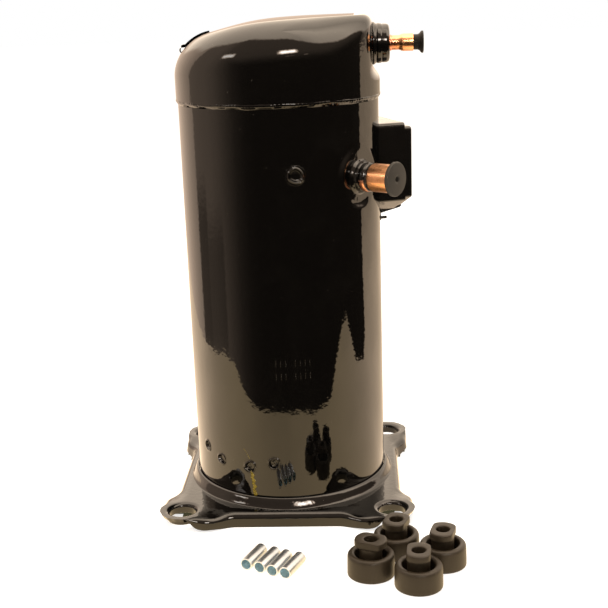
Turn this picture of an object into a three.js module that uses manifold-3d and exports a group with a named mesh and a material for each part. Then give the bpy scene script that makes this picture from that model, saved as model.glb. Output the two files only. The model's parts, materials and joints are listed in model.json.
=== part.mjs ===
// Hermetic scroll compressor with its mounting kit, in millimetres, +Z up.
// Origin: centre of the bottom cap's flat underside, on the shell's axis.
// +X points out of the discharge stub, -Y is the side with the suction stub's front quarter.
import * as THREE from 'three';
import { mergeVertices } from 'three/addons/utils/BufferGeometryUtils.js';
import { ParametricGeometry } from 'three/addons/geometries/ParametricGeometry.js';
import Module from 'manifold-3d';

const wasm = await Module();
wasm.setup();

// ---------------------------------------------------------------- dimensions
const FOOT = 95.25;              // half of the 190.5 mm mounting-hole square
const SHELL_R = 90.4;            // shell outside radius
const SHELL_WALL = 3.0;
const SHELL_Z0 = 14;
const SHELL_Z1 = 371.5;
const CAP_R = 92.0;              // top cap skirt outside radius
const CAP_Z0 = 375.6;
const CAP_WALL = 3.5;
const CAP_FLAT_X = 85.5;         // flat wall that carries the discharge stub
const SHELL_N = 48;              // facets round the shell

const DISCHARGE_Z = 418.7;
const DISCHARGE_TUBE_R = 6.4;
const SUCTION_AZ = -35.7;         // degrees
const SUCTION_Z = 308;
const SUCTION_TUBE_R = 12.3;
const SUCTION_BORE_R = 11.1;
const PAD_R = 30;                // pressed flat round the suction stub
const PAD_S = 89.5;

const BOX_AZ = 20;               // terminal box direction, degrees
const BOX_HALF = 40;
const TERM_Z = 312;
const HINGE_S = 109.8, HINGE_T = 42.8;   // upright pin on the box's far side
const LATCH_S = 92, LATCH_Z = 260.3;

const INVOLUTE_A = 2.6;          // base circle of the scroll wraps
const WRAP_T = 4.0;
const WRAP_CLEAR = 0.6;
const ORBIT = Math.PI * INVOLUTE_A - WRAP_T - WRAP_CLEAR;   // crank throw
const KEYWAY_HALF = 4 + 2 * ORBIT + 0.4;
const WRAP_START = 0.95 * Math.PI, WRAP_END = 6.15 * Math.PI;

const Z_THRUST = 318;            // thrust face of the main bearing housing
const Z_ORB0 = 318.3, Z_ORB1 = 327.3;
const Z_FIX0 = 349.6;            // underside of the fixed scroll's plate
const POST_R = 72;               // bolt circle radius of the scroll bolts
const ARM_AZ = [-78.4, 41.6, 161.6];

const GROMMET_OR = 19.75, GROMMET_H = 31.5;
const GROMMETS = [               // x, y, turn of the head's flats (degrees)
  [74.9, -191.0, -22], [96.9, -155.4, 68], [134.9, -175.0, 74], [112.9, -211.0, 84],
];
const SLEEVE_OR = 5.25, SLEEVE_IR = 4.3, SLEEVE_L = 29.5;
const SLEEVES = [                // open end x, y and heading in degrees
  [-29.4, -184.3, 68.0], [-17.9, -189.6, 66.6], [-7.0, -195.3, 68.0], [3.9, -199.6, 66.8],
];

// ---------------------------------------------------------------- helpers
const rad = THREE.MathUtils.degToRad;

// A closed geometry as a solid: vertices merged, collapsed triangles dropped, faces out.
function solid(geometry) {
  const g0 = geometry.index ? geometry.toNonIndexed() : geometry.clone();
  for (const k of Object.keys(g0.attributes)) if (k !== 'position') g0.deleteAttribute(k);
  const g = mergeVertices(g0, 1e-4);
  const p = g.attributes.position.array, q = g.index.array;
  const tri = [];
  let volume = 0;
  for (let i = 0; i < q.length; i += 3) {
    const [a, b, c] = [q[i], q[i + 1], q[i + 2]];
    if (a === b || b === c || a === c) continue;
    tri.push(a, b, c);
    const A = new THREE.Vector3().fromArray(p, 3 * a);
    const B = new THREE.Vector3().fromArray(p, 3 * b);
    const C = new THREE.Vector3().fromArray(p, 3 * c);
    volume += A.dot(B.cross(C));
  }
  if (volume < 0) for (let i = 0; i < tri.length; i += 3) [tri[i], tri[i + 1]] = [tri[i + 1], tri[i]];
  return new wasm.Manifold(new wasm.Mesh({
    numProp: 3, vertProperties: new Float32Array(p), triVerts: new Uint32Array(tri),
  }));
}

function geometryOf(s) {
  const m = s.getMesh();
  const g = new THREE.BufferGeometry();
  g.setAttribute('position', new THREE.BufferAttribute(new Float32Array(m.vertProperties), 3));
  g.setIndex(new THREE.BufferAttribute(new Uint32Array(m.triVerts), 1));
  g.computeVertexNormals();
  return g;
}

// Profile of [radius, height] pairs turned about +Z. Profiles that leave the axis free are closed on themselves.
function turn(profile, segments = 24) {
  const pts = profile.map(([r, z]) => new THREE.Vector2(r, z));
  const onAxis = profile[0][0] === 0 && profile[profile.length - 1][0] === 0;
  if (!onAxis) pts.push(pts[0].clone());
  const g = new THREE.LatheGeometry(pts, segments);
  g.rotateX(Math.PI / 2);
  return g;
}
const ring = (r0, r1, z0, z1, n = 20) => turn([[r0, z0], [r1, z0], [r1, z1], [r0, z1]], n);
const rod = (r, z0, z1, n = 16) => turn([[0, z0], [r, z0], [r, z1], [0, z1]], n);

function box(x0, x1, y0, y1, z0, z1) {
  const g = new THREE.BoxGeometry(x1 - x0, y1 - y0, z1 - z0);
  g.translate((x0 + x1) / 2, (y0 + y1) / 2, (z0 + z1) / 2);
  return g;
}
function prism(points, z0, z1, holes = []) {
  const shape = new THREE.Shape(points.map((p) => new THREE.Vector2(p[0], p[1])));
  for (const h of holes) shape.holes.push(new THREE.Path(h.map((p) => new THREE.Vector2(p[0], p[1]))));
  const g = new THREE.ExtrudeGeometry(shape, { depth: z1 - z0, bevelEnabled: false });
  g.translate(0, 0, z0);
  return g;
}
function arc(r, a0, a1, n, cx = 0, cy = 0) {
  const out = [];
  for (let i = 0; i <= n; i++) {
    const a = rad(a0 + (a1 - a0) * i / n);
    out.push([cx + r * Math.cos(a), cy + r * Math.sin(a)]);
  }
  return out;
}
const sector = (r0, r1, a0, a1, z0, z1, n = 8) =>
  prism([...arc(r1, a0, a1, n), ...arc(r0, a1, a0, n)], z0, z1);
function roundRect(hx, hy, r, n = 3) {
  return [
    ...arc(r, 0, 90, n, hx - r, hy - r), ...arc(r, 90, 180, n, -hx + r, hy - r),
    ...arc(r, 180, 270, n, -hx + r, -hy + r), ...arc(r, 270, 360, n, hx - r, -hy + r),
  ];
}
// Turned about Z, laid along +X.
const alongX = (g) => g.rotateY(Math.PI / 2);
// Profile drawn in (x, z), thickness along y from y0 to y1.
function slab(points, y0, y1) {
  const g = prism(points, 0, y1 - y0);
  g.rotateX(Math.PI / 2);
  g.translate(0, y1, 0);
  return g;
}
const moved = (g, x = 0, y = 0, z = 0) => g.translate(x, y, z);
const turned = (g, degrees) => g.rotateZ(rad(degrees));
const smooth = (a, b, x) => {
  const t = Math.min(1, Math.max(0, (x - a) / (b - a)));
  return t * t * (3 - 2 * t);
};

// ---------------------------------------------------------------- finishes
const finish = (color, roughness, metalness) => ({ color, roughness, metalness });
const BLACK_PAINT = finish(0x0b0b0b, 0.16, 0.0);
const COPPER = finish(0xb87350, 0.3, 1.0);
const RUBBER = finish(0x2b2622, 0.75, 0.0);
const SOFT_PLUG = finish(0x1a1818, 0.6, 0.0);
const PLASTIC = finish(0x121212, 0.35, 0.0);
const ZINC = finish(0xb9c3c4, 0.3, 1.0);
const IRON = finish(0x55585a, 0.55, 0.9);
const STEEL = finish(0x9a9c9e, 0.35, 1.0);
const BRONZE = finish(0xa5814a, 0.35, 1.0);
const LAMINATION = finish(0x6b6f73, 0.5, 0.9);
const WINDING = finish(0x8a4a22, 0.45, 0.6);
const ALLOY = finish(0xc3c6c8, 0.35, 1.0);
const SEAL = finish(0x3a3f36, 0.6, 0.0);

const compressor = new THREE.Group();
function add(name, body, look, group = compressor) {
  const mesh = new THREE.Mesh(geometryOf(body), new THREE.MeshStandardMaterial(look));
  mesh.name = name;
  group.add(mesh);
  return mesh;
}
function station(azimuth, z = 0) {
  const g = new THREE.Group();
  g.rotation.z = rad(azimuth);
  g.position.z = z;
  compressor.add(g);
  return g;
}

// ---------------------------------------------------------------- shell
{
  let s = solid(ring(SHELL_R - SHELL_WALL, SHELL_R, SHELL_Z0, SHELL_Z1, SHELL_N));
  // pressed flat pad round the suction stub
  const pad = (r, a, b, n = 28) => moved(turned(alongX(rod(r, a, b, n)), SUCTION_AZ), 0, 0, SUCTION_Z);
  s = s.add(solid(pad(PAD_R, 78, PAD_S)).subtract(solid(rod(SHELL_R - SHELL_WALL, 250, 360, SHELL_N))));
  s = s.subtract(solid(pad(PAD_R, PAD_S, 99)));
  s = s.subtract(solid(pad(13.1, 70, 99, 24)));
  // opening for the hermetic terminal
  s = s.subtract(solid(moved(turned(alongX(rod(17.6, 70, 99, 28)), BOX_AZ), 0, 0, TERM_Z)));
  add('shell_body', s, BLACK_PAINT);
}

// Bottom cap: drawn cup pressed up into the shell; its flat underside is the row's origin.
add('bottom_cap', solid(turn([
  [0, 0], [58, 0], [72, 3], [83, 10.5], [87.0, 22], [87.0, 34], [84, 34], [84, 22.6], [80.6, 13], [70.6, 6], [57.4, 3], [0, 3],
], 24)), BLACK_PAINT);

// ---------------------------------------------------------------- top cap
// Height of the crown over x, before the edge is rounded.
const CROWN = [[-92, 425], [-72, 429.6], [-51.5, 434.8], [-28, 440.6], [-6.4, 443.5], [22, 444.7], [51.5, 445], [92, 445]];
function crown(x) {
  for (let i = 1; i < CROWN.length; i++) {
    const [a, za] = CROWN[i - 1], [b, zb] = CROWN[i];
    if (x <= b) return za + (zb - za) * (x - a) / (b - a);
  }
  return 445;
}
const capWall = (phi) => {
  const c = Math.cos(phi);
  return c > 0.6 ? Math.min(CAP_R, CAP_FLAT_X / c) : CAP_R;
};
// Point on the cap's outer surface (inset 0) or inner surface (inset = wall).
function capPoint(phi, k, inset, steps) {
  const W = capWall(phi) - inset;
  const a = Math.abs(Math.atan2(Math.sin(phi), Math.cos(phi)));
  const rc = Math.max(8 + 22 * smooth(0.25, 1.1, a) - inset, 4.5);
  const { flat, round } = steps;
  if (k <= flat) {
    const r = (W - rc) * k / flat;
    return [r, crown(r * Math.cos(phi)) - inset];
  }
  if (k <= flat + round) {
    const t = (k - flat) / round * Math.PI / 2;
    const r = W - rc + rc * Math.sin(t);
    return [r, crown(r * Math.cos(phi)) - inset - rc * (1 - Math.cos(t))];
  }
  const j = k - flat - round;
  const full = CAP_R - inset;
  const zf = crown(W * Math.cos(phi)) - inset - rc;      // foot of the edge rounding
  return [[W, Math.min(400, zf - 1.5)], [full, 389], [full, CAP_Z0]][j - 1];
}
{
  const outer = { flat: 3, round: 5 }, inner = { flat: 1, round: 3 };
  const nOut = 3 + 5 + 3, nIn = 1 + 3 + 3;
  const total = nOut + nIn + 1;
  const g = new ParametricGeometry((u, v, target) => {
    const phi = u * 2 * Math.PI;
    const k = Math.round(v * total);
    const [r, z] = k <= nOut ? capPoint(phi, k, 0, outer) : capPoint(phi, total - k, CAP_WALL, inner);
    const c = u === 1 ? 1 : Math.cos(phi), s = u === 1 ? 0 : Math.sin(phi);
    target.set(r * c, r * s, z);
  }, 36, total);
  // the inner skin ends on the axis below the crown, so the loop's two ends are joined along the axis
  let s = solid(g);
  s = s.subtract(solid(moved(alongX(rod(7.2, 70, 95, 20)), 0, 0, DISCHARGE_Z)));
  add('top_cap', s, BLACK_PAINT);
}
add('top_weld_bead', solid(turn([
  [90.75, 370.8], [93.0, 372.4], [93.0, 376.6], [92.4, 376.6], [92.4, 375.2], [90.75, 375.2],
], SHELL_N)), BLACK_PAINT);

// ---------------------------------------------------------------- base plate
{
  const H = 104;                 // outer face of the turned-down lips
  const T = 3.4;                 // sheet thickness
  const top = 14, low = top - T;
  let s = solid(prism([
    [H, 84], [84, H], [-84, H], [-H, 84], [-H, -84], [-84, -H], [84, -H], [H, -84],
  ], low, top));
  for (const sx of [-1, 1]) for (const sy of [-1, 1])
    s = s.add(solid(moved(rod(20.5, low, top, 24), sx * FOOT, sy * FOOT, 0)));
  // turned-down lips with a bulged foot at each end
  for (const a of [0, 90, 180, 270]) {
    const lip = prism([
      [H - T, -82], [H + 8.5, -82], [H + 12, -77], [H + 12, -69], [H + 4, -60], [H, -52], [H, 52],
      [H + 4, 60], [H + 12, 69], [H + 12, 77], [H + 8.5, 82], [H - T, 82],
      [H - T, 58], [H - T - 1, 0], [H - T, -58],
    ], 3, low + 1);
    const lipLow = prism([[H - T, -58], [H, -52], [H, 52], [H - T, 58]], 0, 4);
    s = s.add(solid(turned(lip, a))).add(solid(turned(lipLow, a)));
  }
  // drawn collar with its fillet, hugging the shell
  s = s.add(solid(turn([[90.8, low], [101, low], [101, top], [95.4, 16.6], [92.6, 24], [90.8, 24]], SHELL_N)));
  s = s.subtract(solid(rod(90.8, -1, 40, SHELL_N)));
  // mounting holes with down-turned collars
  for (const sx of [-1, 1]) for (const sy of [-1, 1]) {
    s = s.add(solid(moved(ring(11, 15, 5, low + 1, 16), sx * FOOT, sy * FOOT, 0)));
    s = s.subtract(solid(moved(rod(12, -1, 20, 16), sx * FOOT, sy * FOOT, 0)));
  }
  add('base_plate', s, BLACK_PAINT);
}

// ---------------------------------------------------------------- discharge stub, along +X
{
  const g = station(0, DISCHARGE_Z);
  add('discharge_fitting', solid(alongX(turn([
    [6.8, 86.3], [18.5, 86.3], [18.5, 88.2], [17.4, 89.2], [16.8, 90], [16.8, 98.6], [15.2, 101], [6.8, 101],
  ], 20))), BLACK_PAINT, g);
  add('discharge_tube', solid(alongX(turn([
    [5.5, 80], [6.4, 80], [6.4, 110.5], [7.6, 112.5], [7.6, 122], [6.7, 122], [6.7, 113], [5.5, 111],
  ], 20))), COPPER, g);
  add('discharge_plug', solid(alongX(turn([
    [0, 113.6], [6.2, 113.6], [6.2, 122.3], [6.8, 122.4], [6.8, 126.5], [9.7, 129.6], [9.7, 130.8], [0, 130.8],
  ], 20))), SOFT_PLUG, g);
}

// ---------------------------------------------------------------- suction stub
{
  const g = station(SUCTION_AZ, SUCTION_Z);
  add('suction_fitting', solid(alongX(turn([
    [12.1, 89.8], [15.8, 89.8], [14.0, 91.2], [13.3, 93], [13.3, 95.4], [12.1, 95.8],
  ], 24))), BLACK_PAINT, g);
  add('suction_tube', solid(alongX(turn([
    [10.6, 84], [11.7, 84], [11.7, 96.4], [12.9, 96.8], [12.9, 100.8], [11.7, 101.6], [11.7, 103.4],
    [SUCTION_TUBE_R, 104.4], [SUCTION_TUBE_R, 124], [SUCTION_BORE_R, 124], [SUCTION_BORE_R, 105], [10.6, 103.8],
  ], 20))), COPPER, g);
  add('suction_plug', solid(alongX(turn([
    [0, 113], [10.7, 113], [10.7, 124.3], [14.6, 124.3], [14.9, 125.3], [14.5, 127.8], [2.5, 128.3], [2.5, 124], [0, 124],
  ], 24))), SOFT_PLUG, g);
}

// ---------------------------------------------------------------- terminal box
{
  const g = station(BOX_AZ, 0);
  // outline drawn in (height, across) and run out from the shell
  const along = (points, s0, s1) => moved(prism(points, 0, s1 - s0).rotateY(-Math.PI / 2), s1, 0, 0);
  const shield = (topZ, half, sideZ, keelHalf, keelZ, c) => [
    [topZ, c - half], [topZ, half - c], [topZ - c, half], [sideZ, half], [keelZ, keelHalf],
    [keelZ, -keelHalf], [sideZ, -half], [topZ - c, -half],
  ];
  let s = solid(along(shield(348, BOX_HALF, 277, 11, 264.5, 2), 70, 107));
  s = s.subtract(solid(along(shield(345.5, BOX_HALF - 2.5, 278.7, 10.4, 267, 1), 60, 120)));
  // hinge knuckle on the far side and pivot ears of the latch underneath
  const across = (r, y0, y1, x, z, n = 16) => {
    const c = rod(r, y0, y1, n);
    c.rotateX(-Math.PI / 2);
    return moved(c, x, 0, z);
  };
  const upright = (r, z0, z1, n = 16) => solid(moved(rod(r, z0, z1, n), HINGE_S, HINGE_T, 0));
  s = s.add(upright(2.3, 304, 326)).add(solid(box(102, HINGE_S, BOX_HALF - 1, 44.6, 304, 326)));
  s = s.subtract(upright(1.4, 300, 330, 12));
  for (const y of [-9.6, 7]) {
    s = s.add(solid(box(LATCH_S - 4, LATCH_S + 2.2, y, y + 2.6, LATCH_Z - 2.1, 265.5)));
  }
  s = s.subtract(solid(across(1.6, -16, 16, LATCH_S, LATCH_Z, 12)));
  s = s.subtract(solid(turned(rod(90.8, 240, 370, SHELL_N), -BOX_AZ)));
  add('terminal_box', s, PLASTIC, g);

  // lid: dished tray with two knuckles
  let lid = solid(along(shield(344, 38, 279.3, 9.5, 266.6, 3), 107.3, 114.5))
    .subtract(solid(along(shield(341.4, 35.4, 281, 8.9, 269.2, 2), 100, 111.9)));
  for (const z of [295, 327]) {
    lid = lid.add(solid(box(108.3, 111.4, 36.5, HINGE_T, z, z + 8))).add(upright(2.3, z, z + 8));
  }
  lid = lid.subtract(upright(1.4, 290, 340, 12));
  add('terminal_cover', lid, PLASTIC, g);
  add('cover_hinge_pin', upright(1.0, 294.5, 335.5, 12), ZINC, g);

  // spring latch: cross bar, strip under the box, hook over the lid's lower edge
  let latch = solid(slab([
    [91.4, 259.6], [93.2, 259.6], [114.9, 264.3], [116.2, 265.4], [116.2, 273.5], [114.8, 273.5], [114.8, 266.0], [92.4, 261.1],
  ], -6, 6)).add(solid(across(1.1, -9.6, 9.6, LATCH_S, LATCH_Z, 12)));
  add('cover_latch', latch, ZINC, g);

  // hermetic terminal with three pins and the plug block on it
  const pins = [90, 210, 330].map((a) => [8.5 * Math.cos(rad(a)), TERM_Z + 8.5 * Math.sin(rad(a))]);
  let cup = solid(moved(alongX(turn([[0, 82], [20, 82], [20, 84.0], [17.1, 84.2], [17.1, 92], [0, 92]], 24)), 0, 0, TERM_Z));
  for (const [y, z] of pins) cup = cup.subtract(solid(moved(alongX(rod(2.0, 78, 96, 12)), 0, y, z)));
  add('terminal_feedthrough', cup, STEEL, g);
  pins.forEach(([y, z], i) => add(`terminal_pin_${i + 1}`, solid(moved(alongX(rod(1.6, 81, 101, 12)), 0, y, z)), STEEL, g));
  let block = solid(box(93, 104.5, -17, 17, 296, 328));
  for (const [y, z] of pins) block = block.subtract(solid(moved(alongX(rod(2.0, 90, 102, 12)), 0, y, z)));
  add('terminal_block', block, PLASTIC, g);

  // grounding stud on the shell below the box
  add('ground_screw', solid(moved(alongX(rod(1.3, 89.9, 98.3, 12)), 0, -13, 257.2))
    .add(solid(moved(alongX(rod(2.7, 90.4, 92.4, 6)), 0, -13, 257.2))), ZINC, g);
}

// Sheet strap on the crown's shoulder that holds a thermostat.
add('sensor_strap', solid(slab([
  [-85.6, 425.9], [-79.6, 424.0], [-70, 430.9], [-59, 435.9], [-58.4, 434.8], [-69.6, 429.7], [-79.2, 422.9], [-86, 424.8],
], -11, 11)), BLACK_PAINT);

// ---------------------------------------------------------------- scroll set
// Point of the involute wall a distance d outside the wrap's centre line.
function involute(t, d) {
  const s = INVOLUTE_A * t + d;
  return [INVOLUTE_A * Math.cos(t) + s * Math.sin(t), INVOLUTE_A * Math.sin(t) - s * Math.cos(t)];
}
function wrap(z0, z1) {
  const n = 56, pts = [];
  // steps shorten outwards, so that every chord leaves the curve by the same amount
  const angle = (i) => (WRAP_START ** 1.5 + (WRAP_END ** 1.5 - WRAP_START ** 1.5) * i / n) ** (2 / 3);
  for (let i = 0; i <= n; i++) pts.push(involute(angle(i), WRAP_T / 2));
  for (let i = n; i >= 0; i--) pts.push(involute(angle(i), -WRAP_T / 2));
  return prism(pts, z0, z1);
}
const bolts = [45, 135, 225, 315].map((a) => [POST_R * Math.cos(rad(a)), POST_R * Math.sin(rad(a))]);
{
  let s = solid(turn([
    [5, Z_FIX0], [79.5, Z_FIX0], [79.5, 358], [50, 358], [50, 363], [46.3, 363], [46.3, 355.5], [23.7, 355.5], [23.7, 363], [5, 363],
  ], 24));
  s = s.add(solid(ring(58.5, 64.4, Z_ORB1 + 0.5, Z_FIX0 + 1, 24)));
  s = s.add(solid(wrap(Z_ORB1 + 0.5, Z_FIX0 + 1)));
  s = s.subtract(solid(rod(5, 300, 380, 20)));
  for (const [x, y] of bolts) s = s.subtract(solid(moved(rod(4.3, 345, 362, 12), x, y, 0)));
  s = s.subtract(solid(turned(box(55, 70, -15, 15, 330, 346), SUCTION_AZ)));
  add('fixed_scroll', s, IRON);
}
{
  let s = solid(rod(60, Z_ORB0, Z_ORB1, 32)).add(solid(turned(wrap(Z_ORB1 - 1, Z_FIX0 - 0.5), 180)));
  s = s.add(solid(ring(15.7, 20, 301, Z_ORB0 + 1, 24)));
  // keyways for the coupling ring's upper keys, opened sideways by twice the throw each way
  for (const y of [[46.6, 63], [-63, -46.6]]) s = s.subtract(solid(box(-KEYWAY_HALF, KEYWAY_HALF, y[0], y[1], 316, 322.1)));
  const m = add('orbiting_scroll', s, IRON);
  m.position.set(0, ORBIT, 0);
}
{
  const m = add('orbiting_scroll_bush', solid(ring(13.4, 15.3, 302, 317.8, 20)), BRONZE);
  m.position.set(0, ORBIT, 0);
}
add('oldham_ring', solid(ring(50, 60, 312, 317, 32))
  .add(solid(box(-4, 4, 51.5, 58.5, 316, 321.6))).add(solid(box(-4, 4, -58.5, -51.5, 316, 321.6)))
  .add(solid(box(51.5, 58.5, -4, 4, 308, 313))).add(solid(box(-58.5, -51.5, -4, 4, 308, 313))), ALLOY);

// ---------------------------------------------------------------- main bearing housing
{
  let s = solid(turn([
    [18.6, 272], [24, 272], [24, 290], [34, 298], [60, 302], [79, 304], [79, 311.7], [45.5, 311.7],
    [45.5, Z_THRUST], [25, Z_THRUST], [25, 300.3], [18.6, 300.3],
  ], 24));
  for (const a of ARM_AZ) s = s.add(solid(sector(76, 87.0, a - 7, a + 7, 304.5, 324, 3)));
  for (const [x, y] of bolts) {
    s = s.add(solid(moved(rod(7, 306, 349.3, 12), x, y, 0)));
    s = s.subtract(solid(moved(rod(4.0, 322, 352, 12), x, y, 0)));
  }
  for (const x of [[47.2, 62.8], [-62.8, -47.2]]) s = s.subtract(solid(box(x[0], x[1], -4.4, 4.4, 307.6, 315)));
  add('main_bearing_housing', s, IRON);
}
add('main_bearing_bush', solid(ring(16.3, 18.25, 273, 299.8, 20)), BRONZE);
bolts.forEach(([x, y], i) => add(`scroll_bolt_${i + 1}`,
  solid(moved(rod(3.5, 324, 360, 12), x, y, 0)).add(solid(moved(rod(6.4, 359.4, 364, 6), x, y, 0))), STEEL));

// ---------------------------------------------------------------- crank and motor
{
  let s = solid(turn([[0, 36], [10, 36], [10, 62.4], [13, 62.4], [13, 272.3], [16, 272.3], [16, 300], [0, 300]], 24));
  s = s.add(solid(moved(rod(9, 299, 317, 24), 0, ORBIT, 0)));
  s = s.subtract(solid(rod(2.5, 30, 320, 12)));
  add('crankshaft', s, STEEL);
}
{
  const m = add('drive_bushing', solid(ring(9.4, 13.1, 302, 317, 28)), STEEL);
  m.position.set(0, ORBIT, 0);
}
add('oil_pickup_tube', solid(turn([[2.6, 14], [4.6, 14], [7.5, 22], [7.5, 35.7], [2.6, 35.7]], 20)), STEEL);
add('upper_counterweight', solid(ring(13.3, 19, 234, 262, 28))
  .add(solid(sector(17, 42, 180, 360, 248, 262, 12))), BRONZE);
add('rotor', solid(turn([[13.3, 120], [40.4, 120], [40.4, 230], [13.3, 230]], 32)), LAMINATION);
add('lower_counterweight', solid(ring(13.3, 19, 98, 119.7, 28))
  .add(solid(sector(17, 38, 0, 180, 104, 119.7, 12))), BRONZE);
{
  // lamination stack with winding slots and four gas flats on its rim
  const slots = 18, pts = [];
  const at = (r, a) => [r * Math.cos(rad(a)), r * Math.sin(rad(a))];
  for (let i = 0; i < slots; i++) {
    const a = 360 * i / slots;
    pts.push(at(41.2, a - 6.4), at(41.2, a + 1.2));
    pts.push(at(44, a + 3.6), at(61, a + 3.0), at(61, a + 11.8), at(44, a + 11.2));
  }
  let s = solid(prism(arc(87.0, 0, 354.375, 63), 125, 225, [pts.reverse()]));
  for (const a of [0, 90, 180, 270]) s = s.subtract(solid(turned(box(82.5, 95, -30, 30, 120, 230), a + 45)));
  add('stator_core', s, LAMINATION);
}
add('upper_winding', solid(turn([[45, 225.3], [69, 225.3], [69, 244], [60, 252], [50, 250], [45, 242]], 24)), WINDING);
add('lower_winding', solid(turn([[45, 124.7], [69, 124.7], [69, 106], [60, 98], [50, 100], [45, 108]], 24)), WINDING);
add('motor_protector', solid(turned(box(50, 66, -11, 11, 252.4, 262), 120)), PLASTIC);
{
  // lead sleeve from the winding up to the hermetic terminal
  const path = new THREE.CatmullRomCurve3([
    new THREE.Vector3(58, 0, 254.6), new THREE.Vector3(66, 0, 262), new THREE.Vector3(76, 0, 272),
    new THREE.Vector3(83.1, 0, 282), new THREE.Vector3(83.6, 0, 290.5),
  ]);
  const shape = new THREE.Shape(arc(1.8, 0, 315, 7).map((p) => new THREE.Vector2(p[0], p[1])));
  const g = new THREE.ExtrudeGeometry(shape, { steps: 14, extrudePath: path, bevelEnabled: false });
  add('motor_lead', solid(g), SOFT_PLUG, station(BOX_AZ, 0));
}

// ---------------------------------------------------------------- lower bearing
{
  let s = solid(ring(12.75, 22, 44, 59.6, 20));
  for (const a of [-145.8 + 20, -145.8 + 110, -145.8 + 200, -145.8 + 290]) {
    const arm = solid(turned(box(20, 84, -9, 9, 49, 56), a)).add(solid(sector(82, 87.0, a - 16, a + 16, 46, 62, 2)));
    s = s.add(arm);
  }
  add('lower_bearing_bracket', s, STEEL);
}
add('lower_bearing_bush', solid(ring(10.35, 12.35, 45, 59.4, 20)), BRONZE);
add('thrust_washer', solid(ring(10.4, 20, 59.9, 62.0, 20)), BRONZE);

// ---------------------------------------------------------------- separator plate, seal and valves
{
  let s = solid(turn([[90.2, 371.8], [84, 371.8], [72, 367.6], [12, 367.6], [12, 371.1], [71, 371.1], [83, 375.3], [90.2, 375.3]], 24));
  s = s.subtract(solid(moved(rod(6.0, 360, 380, 16), -45, 20, 0)));
  add('muffler_plate', s, STEEL);
}
add('floating_seal', solid(turn([
  [24.3, 357.2], [45.7, 357.2], [45.7, 362.5], [39, 366.2], [35, 366.2], [24.3, 362.5],
], 24)), SEAL);
add('check_valve_disc', solid(rod(13.4, 371.5, 373, 24)), STEEL);
{
  let s = solid(turn([[14.2, 371.4], [19, 371.4], [19, 373.4], [16, 373.4], [16, 383], [6, 383], [6, 381.5], [14.2, 381.5]], 16));
  s = s.subtract(solid(box(-20, 20, -4, 4, 375, 380))).subtract(solid(box(-4, 4, -20, 20, 375, 380)));
  add('check_valve_cage', s, STEEL);
}
add('relief_valve', solid(moved(rod(5.6, 365, 372, 16), -45, 20, 0))
  .add(solid(moved(rod(8, 371.4, 377, 6), -45, 20, 0))), BRONZE);
add('suction_baffle', solid(turned(sector(79.5, 81, -16, 16, 286, 330, 8), SUCTION_AZ)), STEEL);

// ---------------------------------------------------------------- mounting kit, lying in front of the base
GROMMETS.forEach(([x, y, turnDeg], i) => {
  let cup = solid(turn([
    [5.5, 0], [19.75, 0], [19.5, 17.6], [17.6, 19.5], [13.4, 19], [13.2, 7], [9.4, 7], [9.4, 31], [5.5, 31],
  ], 16));
  let head = solid(turn([[5.5, 25], [13.5, 25], [13.5, 30.7], [12.9, GROMMET_H], [5.5, GROMMET_H]], 16))
    .intersect(solid(box(-20, 20, -9.8, 9.8, 0, 40)));
  const m = add(`grommet_${i + 1}`, cup.add(head), RUBBER);
  m.position.set(x, y, 0);
  m.rotation.z = rad(turnDeg);
});
SLEEVES.forEach(([x, y, heading], i) => {
  const g = ring(SLEEVE_IR, SLEEVE_OR, 0, SLEEVE_L, 16);
  const m = add(`sleeve_${i + 1}`, solid(alongX(g)), ZINC);
  m.position.set(x, y, SLEEVE_OR);
  m.rotation.z = rad(heading);
});

export default compressor;
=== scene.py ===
import json
import math
import random

import bmesh
import bpy
import numpy as np
from mathutils import Matrix, Vector


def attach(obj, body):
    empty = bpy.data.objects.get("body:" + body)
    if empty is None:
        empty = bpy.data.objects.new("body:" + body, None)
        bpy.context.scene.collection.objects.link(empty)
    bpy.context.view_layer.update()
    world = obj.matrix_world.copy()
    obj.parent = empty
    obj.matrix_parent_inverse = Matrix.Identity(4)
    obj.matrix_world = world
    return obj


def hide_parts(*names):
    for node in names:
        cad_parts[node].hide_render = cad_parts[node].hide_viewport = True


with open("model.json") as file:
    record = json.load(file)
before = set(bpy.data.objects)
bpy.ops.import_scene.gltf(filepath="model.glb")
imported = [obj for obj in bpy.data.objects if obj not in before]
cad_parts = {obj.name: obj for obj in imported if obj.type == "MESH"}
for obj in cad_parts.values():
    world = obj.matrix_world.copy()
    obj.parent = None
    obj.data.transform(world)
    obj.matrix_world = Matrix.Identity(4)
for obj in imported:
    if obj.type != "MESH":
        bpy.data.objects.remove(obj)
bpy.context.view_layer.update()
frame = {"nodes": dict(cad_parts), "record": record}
MM = 0.001
PI = math.pi
rnd = random.Random(7)


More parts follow.
